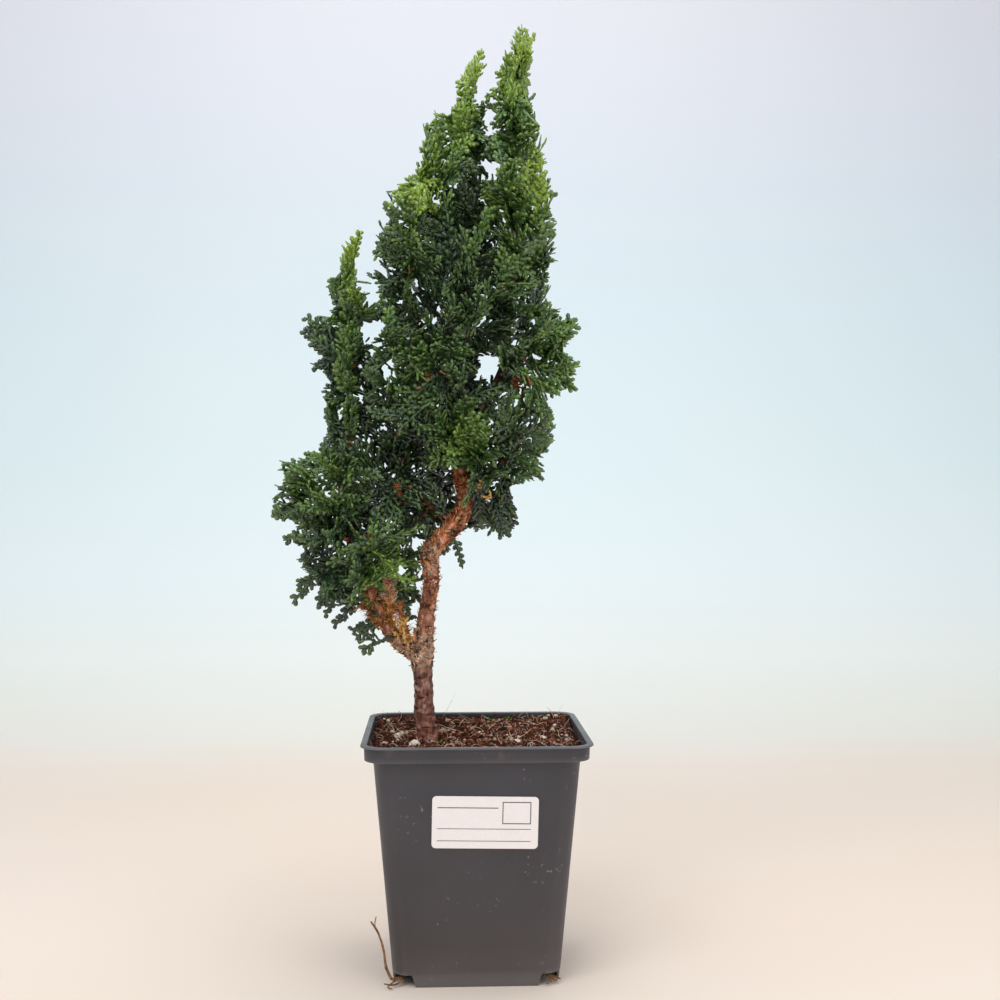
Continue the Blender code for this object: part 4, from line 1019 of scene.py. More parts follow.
def addWood():
    rng = np.random.default_rng(wood["seed"])
    batch = Batch("flake", "yellow", "paleness")
    spots = []
    for name in limbs:
        thick = name in ("trunk", "left_branch")
        line = shapedLimb(name, thick)
        sides = wood["trunkSides"] if thick else wood["limbSides"]
        batch.add(*skin(bentTube(line, sides, wood["rough"], 4.0, 1.7)))
        top = wood["thickBareTo"] if thick else wood["thinBareTo"]
        bare = line[(line[:, 2] > wood["soilZ"]) & (line[:, 2] < top)]
        if len(bare) > 3:
            spots.append(bare)
    # loose strips of bark that lift off
    kite = np.array([(1, 0), (0, 1), (-1, 0), (0, -0.6)])
    shape = [(0, 0.7, 0.8), (0.25, 1.0, 1.0), (0.6, 0.8, 0.9), (0.85, 0.5, 0.7), (1, 0.12, 0.4)]
    lengths = np.array([len(line) * line[:, 3].mean() for line in spots])
    rows, yellow, pale = [], [], []
    for index in rng.choice(len(spots), wood["flakes"], p=lengths / lengths.sum()):
        line = spots[index]
        i = rng.integers(1, len(line) - 1)
        middle, radius = line[i, :3], line[i, 3]
        tangent = unit(line[i + 1, :3] - line[i - 1, :3])
        out = anyAcross(rng, tangent)
        shaggy = np.interp(middle[2], wood["shagHeights"], wood["shag"])
        way = unit(tangent * rng.choice((-1, 1), p=(0.2, 0.8)) + out * rng.uniform(0.1, 0.9) * shaggy
                   + np.cross(tangent, out) * rng.normal(0, 0.35))
        length = rng.uniform(1.3, 3.3) * shaggy
        rows.append(stripRow(middle + out * radius * 0.92, way, out, length, rng.uniform(0.9, 2.1) * shaggy,
                             rng.uniform(0.4, 0.8), rng.normal(0, 0.2), rng.uniform(-0.1, 0.3)))
        yellow.append(rng.beta(1.2, 3.0) * shaggy * 0.6)
        pale.append(rng.beta(1.0, 3.5) * (1.6 if wood["paleFrom"] < middle[2] < wood["paleTo"] else 0.8))
    points, faces, tip = strips(np.array(rows), kite, shape)
    each = len(points) // len(rows)
    shade = np.repeat(rng.uniform(0.1, 0.9, len(rows)), each)
    pale = np.clip(np.repeat(pale, each), 0, 1)
    batch.add(points, faces, flake=shade, yellow=np.repeat(yellow, each), paleness=pale)
    addNeedles(batch, rng, np.vstack(spots))
    addPiece("shaggyWood", batch, [barkSurface()], ["wood"], "bark")
    return batch.triangles()


print("bark, flakes and dead tufts:", addWood(), "triangles")


# Where the leafy shoots stand, by the rule and the seeds of the solids, so that each piece fits its node

crown = dict(
    seed=11, gap=0.3, turn=137.5, limbTurn=40.0, retryTurn=29.0, retryTurns=10, shrinks=(1.0, 0.8, 0.6),
    along=0.4, tipLean=0.12, fromAxis=1.12, shortestStalk=3.0, fronds=3, tries=24, facingWeight=12.0,
    inside=0.92, bladeThick=0.9, cup=0.45, bend=0.22, fingerLean=46.0, fingers=(0.56, 0.42),
    firstFingers=(0.12, 0.24), fingerStep=0.28, fingerHalf=0.085, ribHalf=0.07, stalkHalf=0.034,
    stalkSpans=2, stalkPoints=7, rootShare=0.2, depth=104.0, axes=[(18.0, 2.0), (-38.0, -3.0)],
    knobble=0.10, trunkSides=9, limbSides=5,
)
guardGap = 1.3 * crown["gap"]
shoots = {
    "trunk": dict(count=6, part=(0.58, 1.0), reach=(44, 12), up=(0.5, 0.5), frond=(40, 21)),
    "right_leader": dict(count=7, part=(0.16, 1.0), reach=(46, 12), up=(0.3, 0.5), frond=(40, 20)),
    "right_side_limb": dict(count=2, part=(0.60, 1.0), reach=(30, 14), up=(-0.6, 0.3), frond=(34, 25)),
    "left_shoulder": dict(count=5, part=(0.34, 1.0), reach=(40, 14), up=(0.4, 0.6), frond=(38, 24)),
    "back_limb": dict(count=3, part=(0.30, 1.0), reach=(40, 24), up=(0.2, 0.6), frond=(40, 32)),
    "front_limb": dict(count=4, part=(0.30, 1.0), reach=(38, 24), up=(0.2, 0.5), frond=(39, 30)),
    "low_right_limb": dict(count=4, part=(0.20, 1.0), reach=(36, 20), up=(-1.2, 0.3), frond=(37, 29)),
    "low_left_limb": dict(count=3, part=(0.30, 1.0), reach=(30, 24), up=(-0.5, 0.5), frond=(36, 30)),
    "left_branch": dict(count=9, part=(0.14, 1.0), reach=(38, 12), up=(0.0, 0.5), frond=(36, 19)),
    "left_side_limb": dict(count=3, part=(0.10, 1.0), reach=(34, 16), up=(-0.5, 0.2), frond=(35, 28)),
    "left_back_limb": dict(count=2, part=(0.55, 1.0), reach=(30, 24), up=(0.2, 0.4), frond=(36, 30)),
}
# outline of the crown that the solids keep inside, as z and x seen by the viewer
crownLeft = [
    (150, -34), (160, -36), (175, -50), (190, -68), (208, -72), (221, -81), (236, -80), (250, -75),
    (262, -54), (281, -51), (300, -57), (310, -62), (322, -62), (333, -49), (342, -50), (352, -45),
    (365, -38), (370, -23), (392, -13), (407, -4), (422, 0), (440, 12), (453, 15), (456, 38), (470, 44),
]
crownRight = [
    (150, -18), (163, -8), (180, 0), (206, 10), (210, 44), (220, 50), (236, 53), (246, 61), (262, 68),
    (282, 70), (290, 79), (318, 78), (330, 66), (392, 65), (407, 62), (440, 59), (456, 58), (470, 56),
]
# low and high x, low and high z of the gaps that the solids leave
crownGaps = [(25, 36, 290, 304), (-32.5, -27, 335, 368), (31.5, 35.5, 402, 440)]


def solidLimb(name, line):
    # the limb as the solid has it, which the fronds keep clear of
    rng = np.random.default_rng([crown["seed"], limbNames.index(name)])
    sides = crown["trunkSides"] if name in ("trunk", "left_branch") else crown["limbSides"]
    rings = []
    for point, radius, outward in ringsRound(line, sides):
        spread = radius * (1 + crown["knobble"] * rng.uniform(-1, 1, sides))
        rings.append(point + spread[:, None] * outward)
    points, faces = skin(rings)
    return points, [tuple(face) for group in faces for face in group.tolist()]


def seenAt(points):
    # x and z at which the viewer sees points in the plane y = 0
    eye = np.array(studio["eye"])
    flat = eye + (points - eye) * (-eye[1] / (points[:, 1:2] - eye[1]))
    return flat[:, 0], flat[:, 2]


def seenSpot(point):
    x, z = seenAt(point[None])
    return float(x[0]), float(z[0])


def inAny(x, z, boxes):
    found = np.zeros(np.shape(x), bool)
    for lowX, highX, lowZ, highZ in boxes:
        found |= (x > lowX) & (x < highX) & (z > lowZ) & (z < highZ)
    return found


def shareInCrown(points):
    x, z = seenAt(points)
    inside = (x > np.interp(z, *zip(*crownLeft))) & (x < np.interp(z, *zip(*crownRight)))
    inside &= abs(points[:, 1]) < crown["depth"] / 2
    return (inside & ~inAny(x, z, crownGaps)).mean()


def frondOutline():
    lean = math.radians(crown["fingerLean"])
    half = crown["fingerHalf"]
    right, left = [(0.0, crown["stalkHalf"])], [(0.0, -crown["stalkHalf"])]
    for side, outline, first in ((1, right, crown["firstFingers"][0]), (-1, left, crown["firstFingers"][1])):
        for i, reach in enumerate(crown["fingers"]):
            at = first + crown["fingerStep"] * i
            tip = np.array((at + reach * math.cos(lean), side * reach * math.sin(lean)))
            across = half * np.array((math.sin(lean), -side * math.cos(lean)))
            outline.append(tuple(tip - across))
            outline.append(tuple(tip + across))
            outline.append((at + 0.9 * crown["fingerStep"], side * crown["ribHalf"]))
        outline.append((1.0, side * half * 0.9))
    return np.array([*left, *right[::-1]])


outlineOfFrond = frondOutline()
facesOfFrond = [tuple(face) for face in tessellate_polygon([[(u, v, 0.0) for u, v in outlineOfFrond]])]


def cupped(frond, along, across):
    # the height of the frond's face, which falls towards its sides and its end
    sideways, onward = across / frond["length"], np.maximum(along / frond["length"], 0)
    return -frond["length"] * (crown["cup"] * sideways**2 + crown["bend"] * onward**2)


def onFrond(frond, along, across, height):
    # places on a frond, along its stalk and then straight along its rib
    stalk, rib = frond["stalk"], frond["direction"]
    run = runAlong(stalk)
    run -= run[-1]
    middle = pointsAt(along, run, stalk) + np.outer(np.maximum(along, 0), rib)
    slopes = np.gradient(stalk, axis=0) if len(stalk) > 1 else np.array([rib])
    slope = pointsAt(along, run, slopes)
    slope[along >= -1e-6] = rib
    slope /= np.linalg.norm(slope, axis=1)[:, None]
    turn = (slope @ frond["normal"]) / (1 + slope @ rib)
    normal = frond["normal"] - turn[:, None] * (rib + slope)
    side = np.cross(normal, slope)
    return middle + across[:, None] * side + height[:, None] * normal


def solidFrond(frond, swell=0.0):
    # the frond as the solid has it, a blade of even thickness, or one that is thicker by the gap to keep
    along, across = ((frond["length"] + swell) * outlineOfFrond).T
    across = across * frond["breadth"]
    stalk = frond["stalk"]
    spans = 0
    if len(stalk) > 1:
        spans = crown["stalkSpans"]
        back = np.linspace(0, -runAlong(stalk)[-1], spans + 1)[1:]
        half = across[-1]
        along = np.concatenate([along, back, back[::-1]])
        across = np.concatenate([across, np.full(spans, half), np.full(spans, -half)])
    height = cupped(frond, along, across)
    half = crown["bladeThick"] / 2 + swell
    points = np.vstack([onFrond(frond, along, across, height + side * half) for side in (1, -1)])
    count = len(along)
    top = list(facesOfFrond)
    right, left = count - 2 * spans - 1, count
    for i in range(spans):
        a, b = right + i, (left - i) % count
        top += [(a, a + 1, b), (a + 1, left - i - 1, b)]
    faces = top + [tuple(i + count for i in face[::-1]) for face in top]
    for i in range(count):
        j = (i + 1) % count
        faces += [(i, i + count, j + count), (i, j + count, j)]
    return points, faces


class Clearance:
    # the solids placed so far, and whether another one stays free of them
    def __init__(self):
        self.pieces = []

    def add(self, owner, mesh):
        points, faces = mesh
        tree = BVHTree.FromPolygons(points.tolist(), faces)
        self.pieces.append((owner, points.min(0), points.max(0), tree))

    def free(self, mesh, own=None):
        points, faces = mesh
        low, high = points.min(0), points.max(0)
        tree = None
        for owner, otherLow, otherHigh, otherTree in self.pieces:
            if owner == own or (otherLow > high).any() or (otherHigh < low).any():
                continue
            tree = tree or BVHTree.FromPolygons(points.tolist(), faces)
            if tree.overlap(otherTree):
                return False
        return True


def atFraction(line, fraction):
    # the place, the way on and the radius at a share of the limb's length
    run = runAlong(line[:, :3])
    ends = [min(fraction + 0.02, 1), fraction - 0.02]
    here, ahead, behind = pointsAt([fraction, *ends], run / run[-1], line)
    return here[:3], unit((ahead - behind)[:3]), here[3]


def stalkPath(start, out, direction, length, clear):
    first = start + out * clear
    last = start + direction * length
    bend = last - direction * 0.6 * np.linalg.norm(last - first)
    t = np.linspace(0, 1, crown["stalkPoints"])[:, None]
    return (1 - t) ** 2 * first + 2 * t * (1 - t) * bend + t**2 * last


def aimShoot(name, line, number):
    spec = shoots[name]
    share = number / (spec["count"] - 1)
    isTip = number == spec["count"] - 1
    here, tangent, radius = atFraction(line, np.interp(share, (0, 1), spec["part"]))
    lift = np.array((0, 0, np.interp(share, (0, 1), spec["up"])))
    side = unit(np.cross(tangent, crossing))
    other = np.cross(tangent, side)
    offAxis = crown["fromAxis"] * radius
    firstTurn = crown["limbTurn"] * limbNames.index(name)
    ways = []
    for attempt in range(crown["retryTurns"]):
        turn = crown["turn"] * number + crown["retryTurn"] * attempt + firstTurn
        out = math.cos(math.radians(turn)) * side + math.sin(math.radians(turn)) * other
        if isTip:
            ways.append((here - tangent * offAxis, tangent, unit(tangent + crown["tipLean"] * out)))
        else:
            ways.append((here, out, unit(out + crown["along"] * tangent + lift)))
    sizes = [np.interp(share, (0, 1), spec[key]) for key in ("reach", "frond")]
    return ways, offAxis + guardGap, sizes


def mainFrond(rng, way, clear, sizes, shrink):
    start, out, direction = way
    reach, length = sizes
    roll = rng.uniform(-math.pi, math.pi)
    flat = unit(np.cross(direction, crossing))
    normal = math.cos(roll) * flat + math.sin(roll) * np.cross(direction, flat)
    length = length * rng.uniform(0.92, 1.08) * shrink
    stalkLength = max(reach * shrink - 0.55 * length, clear + crown["shortestStalk"])
    stalk = stalkPath(start, out, direction, stalkLength, clear)
    breadth = rng.uniform(0.9, 1.1)
    return dict(stalk=stalk, direction=direction, normal=normal, length=length, breadth=breadth)


def frondMiddle(frond):
    return frond["stalk"][-1] + 0.6 * frond["length"] * frond["direction"]


def nearestAxis(point):
    return min(crown["axes"], key=lambda spot: math.hypot(point[0] - spot[0], point[1] - spot[1]))


def awayFromAxis(point):
    axis = nearestAxis(point)
    return np.array((point[0] - axis[0], point[1] - axis[1], 0.0))


def facing(frond):
    away = awayFromAxis(frondMiddle(frond))
    return abs(frond["normal"] @ away) / max(np.linalg.norm(away), 1.0)


def placeShoot(name, line, number, clearance):
    rng = np.random.default_rng([crown["seed"], limbNames.index(name), number])
    ways, clear, sizes = aimShoot(name, line, number)
    owner = f"{name}_shoot_{number + 1}"
    best = None
    for shrink in crown["shrinks"]:
        for way in ways:
            for attempt in range(crown["tries"] // 2):
                frond = mainFrond(rng, way, clear, sizes, shrink)
                good = facing(frond)
                if best and good <= best[0]:
                    continue
                guard = solidFrond(frond, guardGap)
                if shareInCrown(guard[0]) > crown["inside"] and clearance.free(guard):
                    best = (good, frond)
            if best:
                clearance.add(owner, solidFrond(best[1]))
                return dict(name=owner, fronds=[best[1]], length=sizes[1], rng=rng)
    return None


def sideFrond(shoot, which, shrink):
    rng = shoot["rng"]
    main = shoot["fronds"][0]
    ahead = main["direction"]
    roll = rng.uniform(-0.9, 0.9) + (math.pi if which % 2 else 0.0)
    normal = unit(math.cos(roll) * main["normal"] + math.sin(roll) * np.cross(ahead, main["normal"]))
    yaw = math.radians(rng.uniform(40, 95))
    direction = unit(math.cos(yaw) * ahead + math.sin(yaw) * np.cross(normal, ahead))
    back = int(rng.integers(2, 4)) if which == 1 else int(rng.integers(4, 6))
    base = main["stalk"][back]
    length = shoot["length"] * rng.uniform(0.9, 1.1) * shrink
    breadth = rng.uniform(0.9, 1.1)
    return dict(stalk=base[None], direction=direction, normal=normal, length=length, breadth=breadth)


def outerPart(mesh, frond):
    # the frond past its root, which keeps clear of its own shoot too
    points = mesh[0].copy()
    short = crown["rootShare"] * frond["length"] - (points - frond["stalk"][0]) @ frond["direction"]
    points += np.outer(np.maximum(short, 0), frond["direction"])
    return points, mesh[1]


def placeSideFrond(shoot, which, clearance, centres):
    best = None
    for shrink in crown["shrinks"]:
        for attempt in range(crown["tries"]):
            frond = sideFrond(shoot, which, shrink)
            middle = frondMiddle(frond)
            room = min((np.linalg.norm(middle - centre) for centre in centres), default=1e3)
            room += crown["facingWeight"] * facing(frond)
            if best and room < best[0]:
                continue
            guard = solidFrond(frond, guardGap)
            if shareInCrown(guard[0]) < crown["inside"] or not clearance.free(guard, shoot["name"]):
                continue
            if clearance.free(outerPart(guard, frond)):
                best = (room, frond, middle)
        if best:
            break
    if best:
        clearance.add(shoot["name"], solidFrond(best[1]))
        shoot["fronds"].append(best[1])
        centres.append(best[2])


def placeShoots():
    lines = {name: smoothPath(points, 1 if name == "trunk" else 2) for name, points in limbs.items()}
    clearance = Clearance()
    for name, line in lines.items():
        clearance.add("wood", solidLimb(name, line))
    placed = []
    for name, spec in shoots.items():
        for number in range(spec["count"])[::-1]:
            placed.append(placeShoot(name, lines[name], number, clearance))
    placed = [shoot for shoot in placed if shoot]
    centres = [frondMiddle(shoot["fronds"][0]) for shoot in placed]
    for which in range(1, crown["fronds"]):
        for shoot in placed:
            placeSideFrond(shoot, which, clearance, centres)
    return placed


placedShoots = placeShoots()
frondCount = sum(len(shoot["fronds"]) for shoot in placedShoots)
print("shoots placed:", len(placedShoots), "with", frondCount, "fronds")


# Sprays of scale leaves

spray = dict(
    seed=31, pitch=2.1, wide=2.2, thick=1.3, step=2.0, longest=6.8, lean=(38, 56), tilt=0.26,
    stemWide=1.7, stemThick=1.15, stemPitch=7.5, stalkWide=0.75, margin=1.0, strays=0.15, shortenAt=8,
    lengthAlong=((0, 0.3, 1), (0.8, 1.0, 0.55)), smallStep=(0.45, 0.65), smallWide=(0.7, 0.3), uneven=0.16,
    lobes=(0.26, 0.58), lobeLean=(34, 52), lobeLength=(1.9, 2.7), lobeWide=1.5, lobeThick=1.1, manyLobes=4.6,
    frondSize=0.85, fingerSize=0.92, fingerLength=1.04, deadWide=0.55, deadStep=0.8, deadSize=0.62,
    # below: leaf tone darkened as painted shade in the low crown and near the stems, and lightened out at the
    # edges
    brownShare=0.12, brownShade=0.12, lowCrownShade=(13, 245, 42, 0.8), innerReach=(30, 13), innerEven=0.6,
    innerShade=0.4,
)
# how fresh the leaves are: everywhere, out from the middle, towards the top, and around the spots below
freshness = dict(base=0.06, outward=0.20, reach=45, heights=(370, 430), top=(0, 0.2), edge=1.6, uneven=0.05)
# x and z seen by the viewer, how far it reaches and how strong the fresh growth is
freshSpots = [
    (48, 470, 36, 1.0), (44, 440, 18, 0.65), (27, 454, 24, 1.0), (16, 434, 24, 0.7), (14, 414, 18, 0.5),
    (57, 396, 18, 1.0), (-1, 385, 14, 0.9), (-12, 389, 12, 0.8), (-36, 360, 20, 0.95), (-34, 335, 14, 0.65),
    (-60, 322, 9, 0.5), (77, 321, 10, 0.9), (-18, 198, 17, 0.5), (-31, 184, 12, 0.3), (-52, 240, 24, 0.35),
    (20, 263, 21, 0.42), (40, 380, 18, 0.35), (-38, 315, 13, 0.36), (-40, 295, 13, 0.28),
    (-40, 275, 13, 0.25), (-41, 256, 13, 0.22), (2, 403, 14, 0.6),
]
# x, z and reach of the places where some leaves are rust brown
brownSpots = [
    (-24.7, 208, 5), (0, 289, 4), (47, 290, 7), (16, 236, 5), (-12, 250, 4), (-11, 237, 5), (-4, 223, 4),
    (-14, 300, 4),
]
# sprays that stand out in the outline: start x, y, z, direction, length and the shoot they belong to
namedSprays = [
    ((-40, -4, 306), (-1.0, -0.2, 0.55), 22, "left_branch_shoot_9"),
    ((-40, -2, 313), (-1.0, 0.2, 0.25), 20, "left_branch_shoot_9"),
    ((-42, -6, 300), (-1.0, -0.5, 0.75), 19, "left_branch_shoot_8"),
    ((62, -8, 308), (0.85, -0.2, 0.85), 18, "right_side_limb_shoot_2"),
    ((-24, 2, 185), (1.0, 0.2, -0.4), 20, "left_branch_shoot_1"),
    ((-37, -7, 196), (-0.9, -0.3, -1.0), 23, "left_branch_shoot_2"),
    ((-57, -12, 228), (-1.0, -0.3, -0.22), 18, "left_side_limb_shoot_3"),
    ((34, -5, 232), (0.3, -0.4, -1.0), 20, "low_right_limb_shoot_2"),
    ((-25, 1, 190), (1.0, 0.2, -0.28), 25, "left_branch_shoot_2"),
    ((16, 0, 250), (-1.0, -0.4, 0.1), 18, "front_limb_shoot_1"),
    ((-38, -7, 262), (0.15, -0.25, 1.0), 20, "left_branch_shoot_5"),
    ((-38, -7, 281), (-0.2, -0.25, 1.0), 20, "left_branch_shoot_6"),
    ((-37, -6, 299), (0.15, -0.25, 1.0), 19, "left_branch_shoot_7"),
    ((-37, -5, 316), (-0.1, -0.25, 1.0), 18, "left_branch_shoot_8"),
    ((11, -3, 223), (-0.5, -0.4, 0.8), 18, "low_left_limb_shoot_1"),
    ((15, -5, 228), (-0.35, -0.5, 1.0), 16, "low_left_limb_shoot_1"),
    ((27, -3, 232), (0.1, 0.2, -1.0), 12, "low_right_limb_shoot_2"),
    ((40, -4, 236), (0.1, 0.3, -1.0), 21, "low_right_limb_shoot_3"),
]
# slender ones, with how wide they are
thinSprays = [
    ((14.5, -3, 212), (0.42, -0.1, -1.0), 16, 0.5, "low_right_limb_shoot_1"),
    ((60, -8, 306), (1.0, -0.4, -0.45), 18, 0.7, "right_side_limb_shoot_2"),
    ((-45, -9, 203), (-1.0, -0.2, -1.05), 31, 0.85, "left_side_limb_shoot_1"),
    ((-20, -4, 171), (-1.0, -0.2, -0.26), 18, 0.65, "left_branch_shoot_1"),
    ((-54, -9, 192), (-1.0, -0.3, -0.3), 10, 0.75, "left_side_limb_shoot_1"),
    ((-36, -6, 178), (-0.9, -0.2, -0.85), 14, 0.7, "left_branch_shoot_2"),
    ((-42, -6, 301), (-1.0, -0.2, -0.3), 15, 0.7, "left_branch_shoot_8"),
    ((-18, 0, 178), (0.9, 0.1, -0.55), 14, 0.7, "left_branch_shoot_1"),
    ((-36, -2, 350), (0.15, -0.1, 1.0), 16, 0.5, "left_branch_shoot_9"),
    ((52, -4, 380), (1.0, -0.1, 0.45), 14, 0.6, "right_leader_shoot_5"),
    ((-16, -5, 163), (-1.0, -0.3, -0.38), 11, 0.25, "left_branch_shoot_1"),
    ((-25, -7, 160), (-1.0, -0.2, -0.6), 8, 0.85, "left_branch_shoot_1"),
    ((22, 2, 440), (0.38, 0, 1.0), 21, 0.65, "trunk_shoot_6"),
    ((-46, -4, 314), (-1.0, -0.2, 0.72), 16, 0.8, "left_branch_shoot_9"),
    ((43, -2, 438), (-0.35, -0.2, 1.0), 13, 0.6, "right_leader_shoot_7"),
    ((-57, -10, 214), (-1.0, -0.2, -0.15), 13, 0.7, "left_side_limb_shoot_1"),
    ((-40, -7, 188), (-0.75, -0.2, -1.0), 18, 0.6, "left_branch_shoot_2"),
    ((61, -8, 297), (1.0, -0.2, -0.85), 18, 0.7, "right_side_limb_shoot_2"),
    ((19, 0, 424), (0.22, -0.2, 1.0), 17, 0.5, "trunk_shoot_6"),
    ((21, 0, 431), (0.5, -0.2, 0.9), 10, 0.5, "trunk_shoot_6"),
    ((46, -2, 450), (0.25, 0.0, 1.0), 20, 0.55, "right_leader_shoot_7"),
    ((47, -2, 455), (0.65, -0.1, 0.9), 13, 0.5, "right_leader_shoot_7"),
]
# dead sprays: start, direction, length, how yellow and the shoot they belong to
deadSprays = [
    ((-12, -6, 164), (-0.5, -0.5, 0.8), 7, 0.97, "left_branch_shoot_1"),
    ((-8.5, -5, 161), (-0.2, -0.7, 0.8), 6, 0.97, "left_branch_shoot_1"),
    ((-10, -7, 168), (-0.1, -0.5, 1.0), 5, 0.97, "left_branch_shoot_1"),
    ((29, -12, 236), (0.1, -0.5, 0.8), 6, 0.9, "low_right_limb_shoot_2"),
    ((33, -12, 232), (-0.2, -0.5, 0.8), 5, 0.95, "low_right_limb_shoot_2"),
    ((45, -10, 286), (0.2, -0.8, 0.9), 9, 0.15, "right_leader_shoot_1"),
    ((50, -9, 284), (-0.1, -0.8, 0.9), 7, 0.15, "right_leader_shoot_1"),
]
# outline of the crown as the viewer sees it: height, left column from and to, main mass from and to
crownRows = [
    (470, 0, 0, 46, 51), (462, 0, 0, 42, 55), (453, 0, 0, 22, 54), (442, 0, 0, 16, 51), (431, 0, 0, 15, 54),
    (422, 0, 0, 0, 57), (412, 0, 0, -1, 59), (402, 0, 0, -3, 61), (397, 0, 0, -6, 60), (388, 0, 0, -16, 66),
    (382, 0, 0, -19, 63), (377, 0, 0, -22, 64), (372, -37, -36, -19, 66), (362, -40, -33, -25, 65),
    (354, -42, -34, -27, 64), (349, -43, -34, -27, 67), (345, -44, -33, -29, 64), (340, -50, -33, -30, 63),
    (334, -48, -30, -27, 61), (325, -46, -28, -28, 70), (321, -61, -28, -28, 78), (314, -60, -28, -28, 70),
    (308, -57, -28, -28, 73), (303, -51, -28, -28, 71), (299, -58, -28, -28, 79.5),
    (296.5, -56, -28, -28, 78), (292.5, -46, -28, -28, 75), (288, -51, -28, -28, 77),
    (285, -52, -28, -28, 72), (282, -52, -28, -28, 64), (279, -50, -28, -28, 64), (276, -51, -28, -28, 64),
    (270, -49, -28, -28, 66), (261, -51, -28, -28, 65), (256, -54, -28, -28, 64), (252, -72, -28, -28, 58),
    (246, -73, -24, -24, 62), (241, -73, -20, -20, 60), (236, -74, -17, -17, 43), (231, -75, -15, -15, 43),
    (226, -77, -10, -10, 43), (223.5, -73, -9, -9, 41), (219, -65, -8, -8, 46), (215, -63, -8, -8, 45),
    (212, -70, -8, -8, 30), (208, -64, -8, -8, 22), (205, -59, -8, -8, 16), (200, -66, 0, 0, 0),
    (197, -63, 0, 0, 0), (194, -56, 0, 0, 0), (186, -54, -4, 0, 0), (181, -52, -14, 0, 0),
    (170, -46, -24, 0, 0), (163, -37, -26, 0, 0), (158, -34, -27, 0, 0),
]
# where no leaves hang in front of the trunk and of the longest brush of dead needles
windows = [(11, 20.5, 222, 247), (-21, -13, 166, 192)]
# low and high x, low and high z of the holes that the backdrop shows through
lightGaps = [
    (29, 37, 290, 302), (-30, -22, 309, 320), (-29, -25.5, 302.5, 306.5), (-41.5, -37.5, 210, 214),
    (19, 25, 205, 216.5), (-30, -23, 330, 337), (-33, -20.5, 346, 351), (-32.5, -27, 351, 362),
    (-22, -15, 293, 299), (28, 37, 392, 402), (30.2, 34, 416, 429), (-8, -3, 207, 212), (21, 31, 433, 441),
    (26, 29, 299.5, 303), (27, 35.5, 439, 448), (31, 38.5, 449, 460), (-50, -42, 171, 177),
    (20, 42, 459, 475), (-1, 4, 195, 212), (14, 34, 205, 213), (-39, -27, 169, 176),
]
crownLow, crownHigh = 158, 470.5
crownEdges = np.array(crownRows, float)[::-1]
boxLow, boxHigh = (np.array(corner) / mm for corner in cadBox)
# cross-section of a leafy twig, and a lobe's widths and heights along it
scaleSection = np.array([(1, -0.35), (0, 0.95), (-1, -0.35)])
lobeShape = [(0, 0.75, 0.95), (0.5, 1.08, 0.95), (1.0, 0.38, 0.5)]
leafValues = ("tip", "seam", "fresh", "tone", "brown")


def inCrown(x, z):
    heights = crownEdges[:, 0]
    leftLow, leftHigh, mainLow, mainHigh = (np.interp(z, heights, crownEdges[:, k]) for k in (1, 2, 3, 4))
    inside = ((x > leftLow) & (x < leftHigh)) | ((x > mainLow) & (x < mainHigh))
    return inside & (z > crownLow) & (z < crownHigh) & ~inAny(x, z, lightGaps)


def inWindow(point):
    return point[1] < 0 and bool(inAny(*seenSpot(point), windows))


def inBox(points):
    return ((points > boxLow + spray["margin"]) & (points < boxHigh - spray["margin"])).all(axis=-1)


def freshAt(point, rng):
    f = freshness
    x, z = seenSpot(point)
    outward = np.linalg.norm(awayFromAxis(point)) / f["reach"]
    amount = f["base"] + f["outward"] * outward**2 + np.interp(z, f["heights"], f["top"])
    amount += rng.normal(0, f["uneven"])
    for spotX, spotZ, reach, strength in freshSpots:
        near = 1 - math.hypot(x - spotX, z - spotZ) / reach
        if near > 0:
            amount = max(amount, strength * min(1, f["edge"] * near) + rng.normal(0, 0.06))
    return min(max(amount, 0), 1)


def brownAt(point, rng):
    x, z = seenSpot(point)
    near = any(math.hypot(x - spotX, z - spotZ) < reach for spotX, spotZ, reach in brownSpots)
    return rng.uniform(0.4, 0.9) if near and rng.random() < spray["brownShare"] else 0.0


def toneAt(point, rng):
    # painted shade: darker near the stems and in the dense low part of the crown, and lighter out at the
    # edges
    x, z = seenSpot(point)
    dimX, dimZ, reach, strength = spray["lowCrownShade"]
    dim = strength * math.exp(-((x - dimX) ** 2 + (z - dimZ) ** 2) / reach**2)
    far = spray["innerReach"][crown["axes"].index(nearestAxis(point))]
    outward = min(np.linalg.norm(awayFromAxis(point)) / far, 1)
    return rng.uniform(0.2, 0.8) - dim + spray["innerShade"] * (outward - spray["innerEven"])


def belly(t):
    return 0.72 + 0.38 * math.sin(0.9 * math.pi * t**0.8)


def scaleProfile(pairs):
    # half widths along a leafy twig: each pair of scales flares and steps in again
    rows = []
    for i in range(pairs):
        rows.append((i / pairs, 0.80 * belly(i / pairs), 1.08))
        rows.append(((i + 0.68) / pairs, 1.10 * belly((i + 0.68) / pairs), 0.88))
    rows.append((1.0, 0.30, 0.45))
    return rows


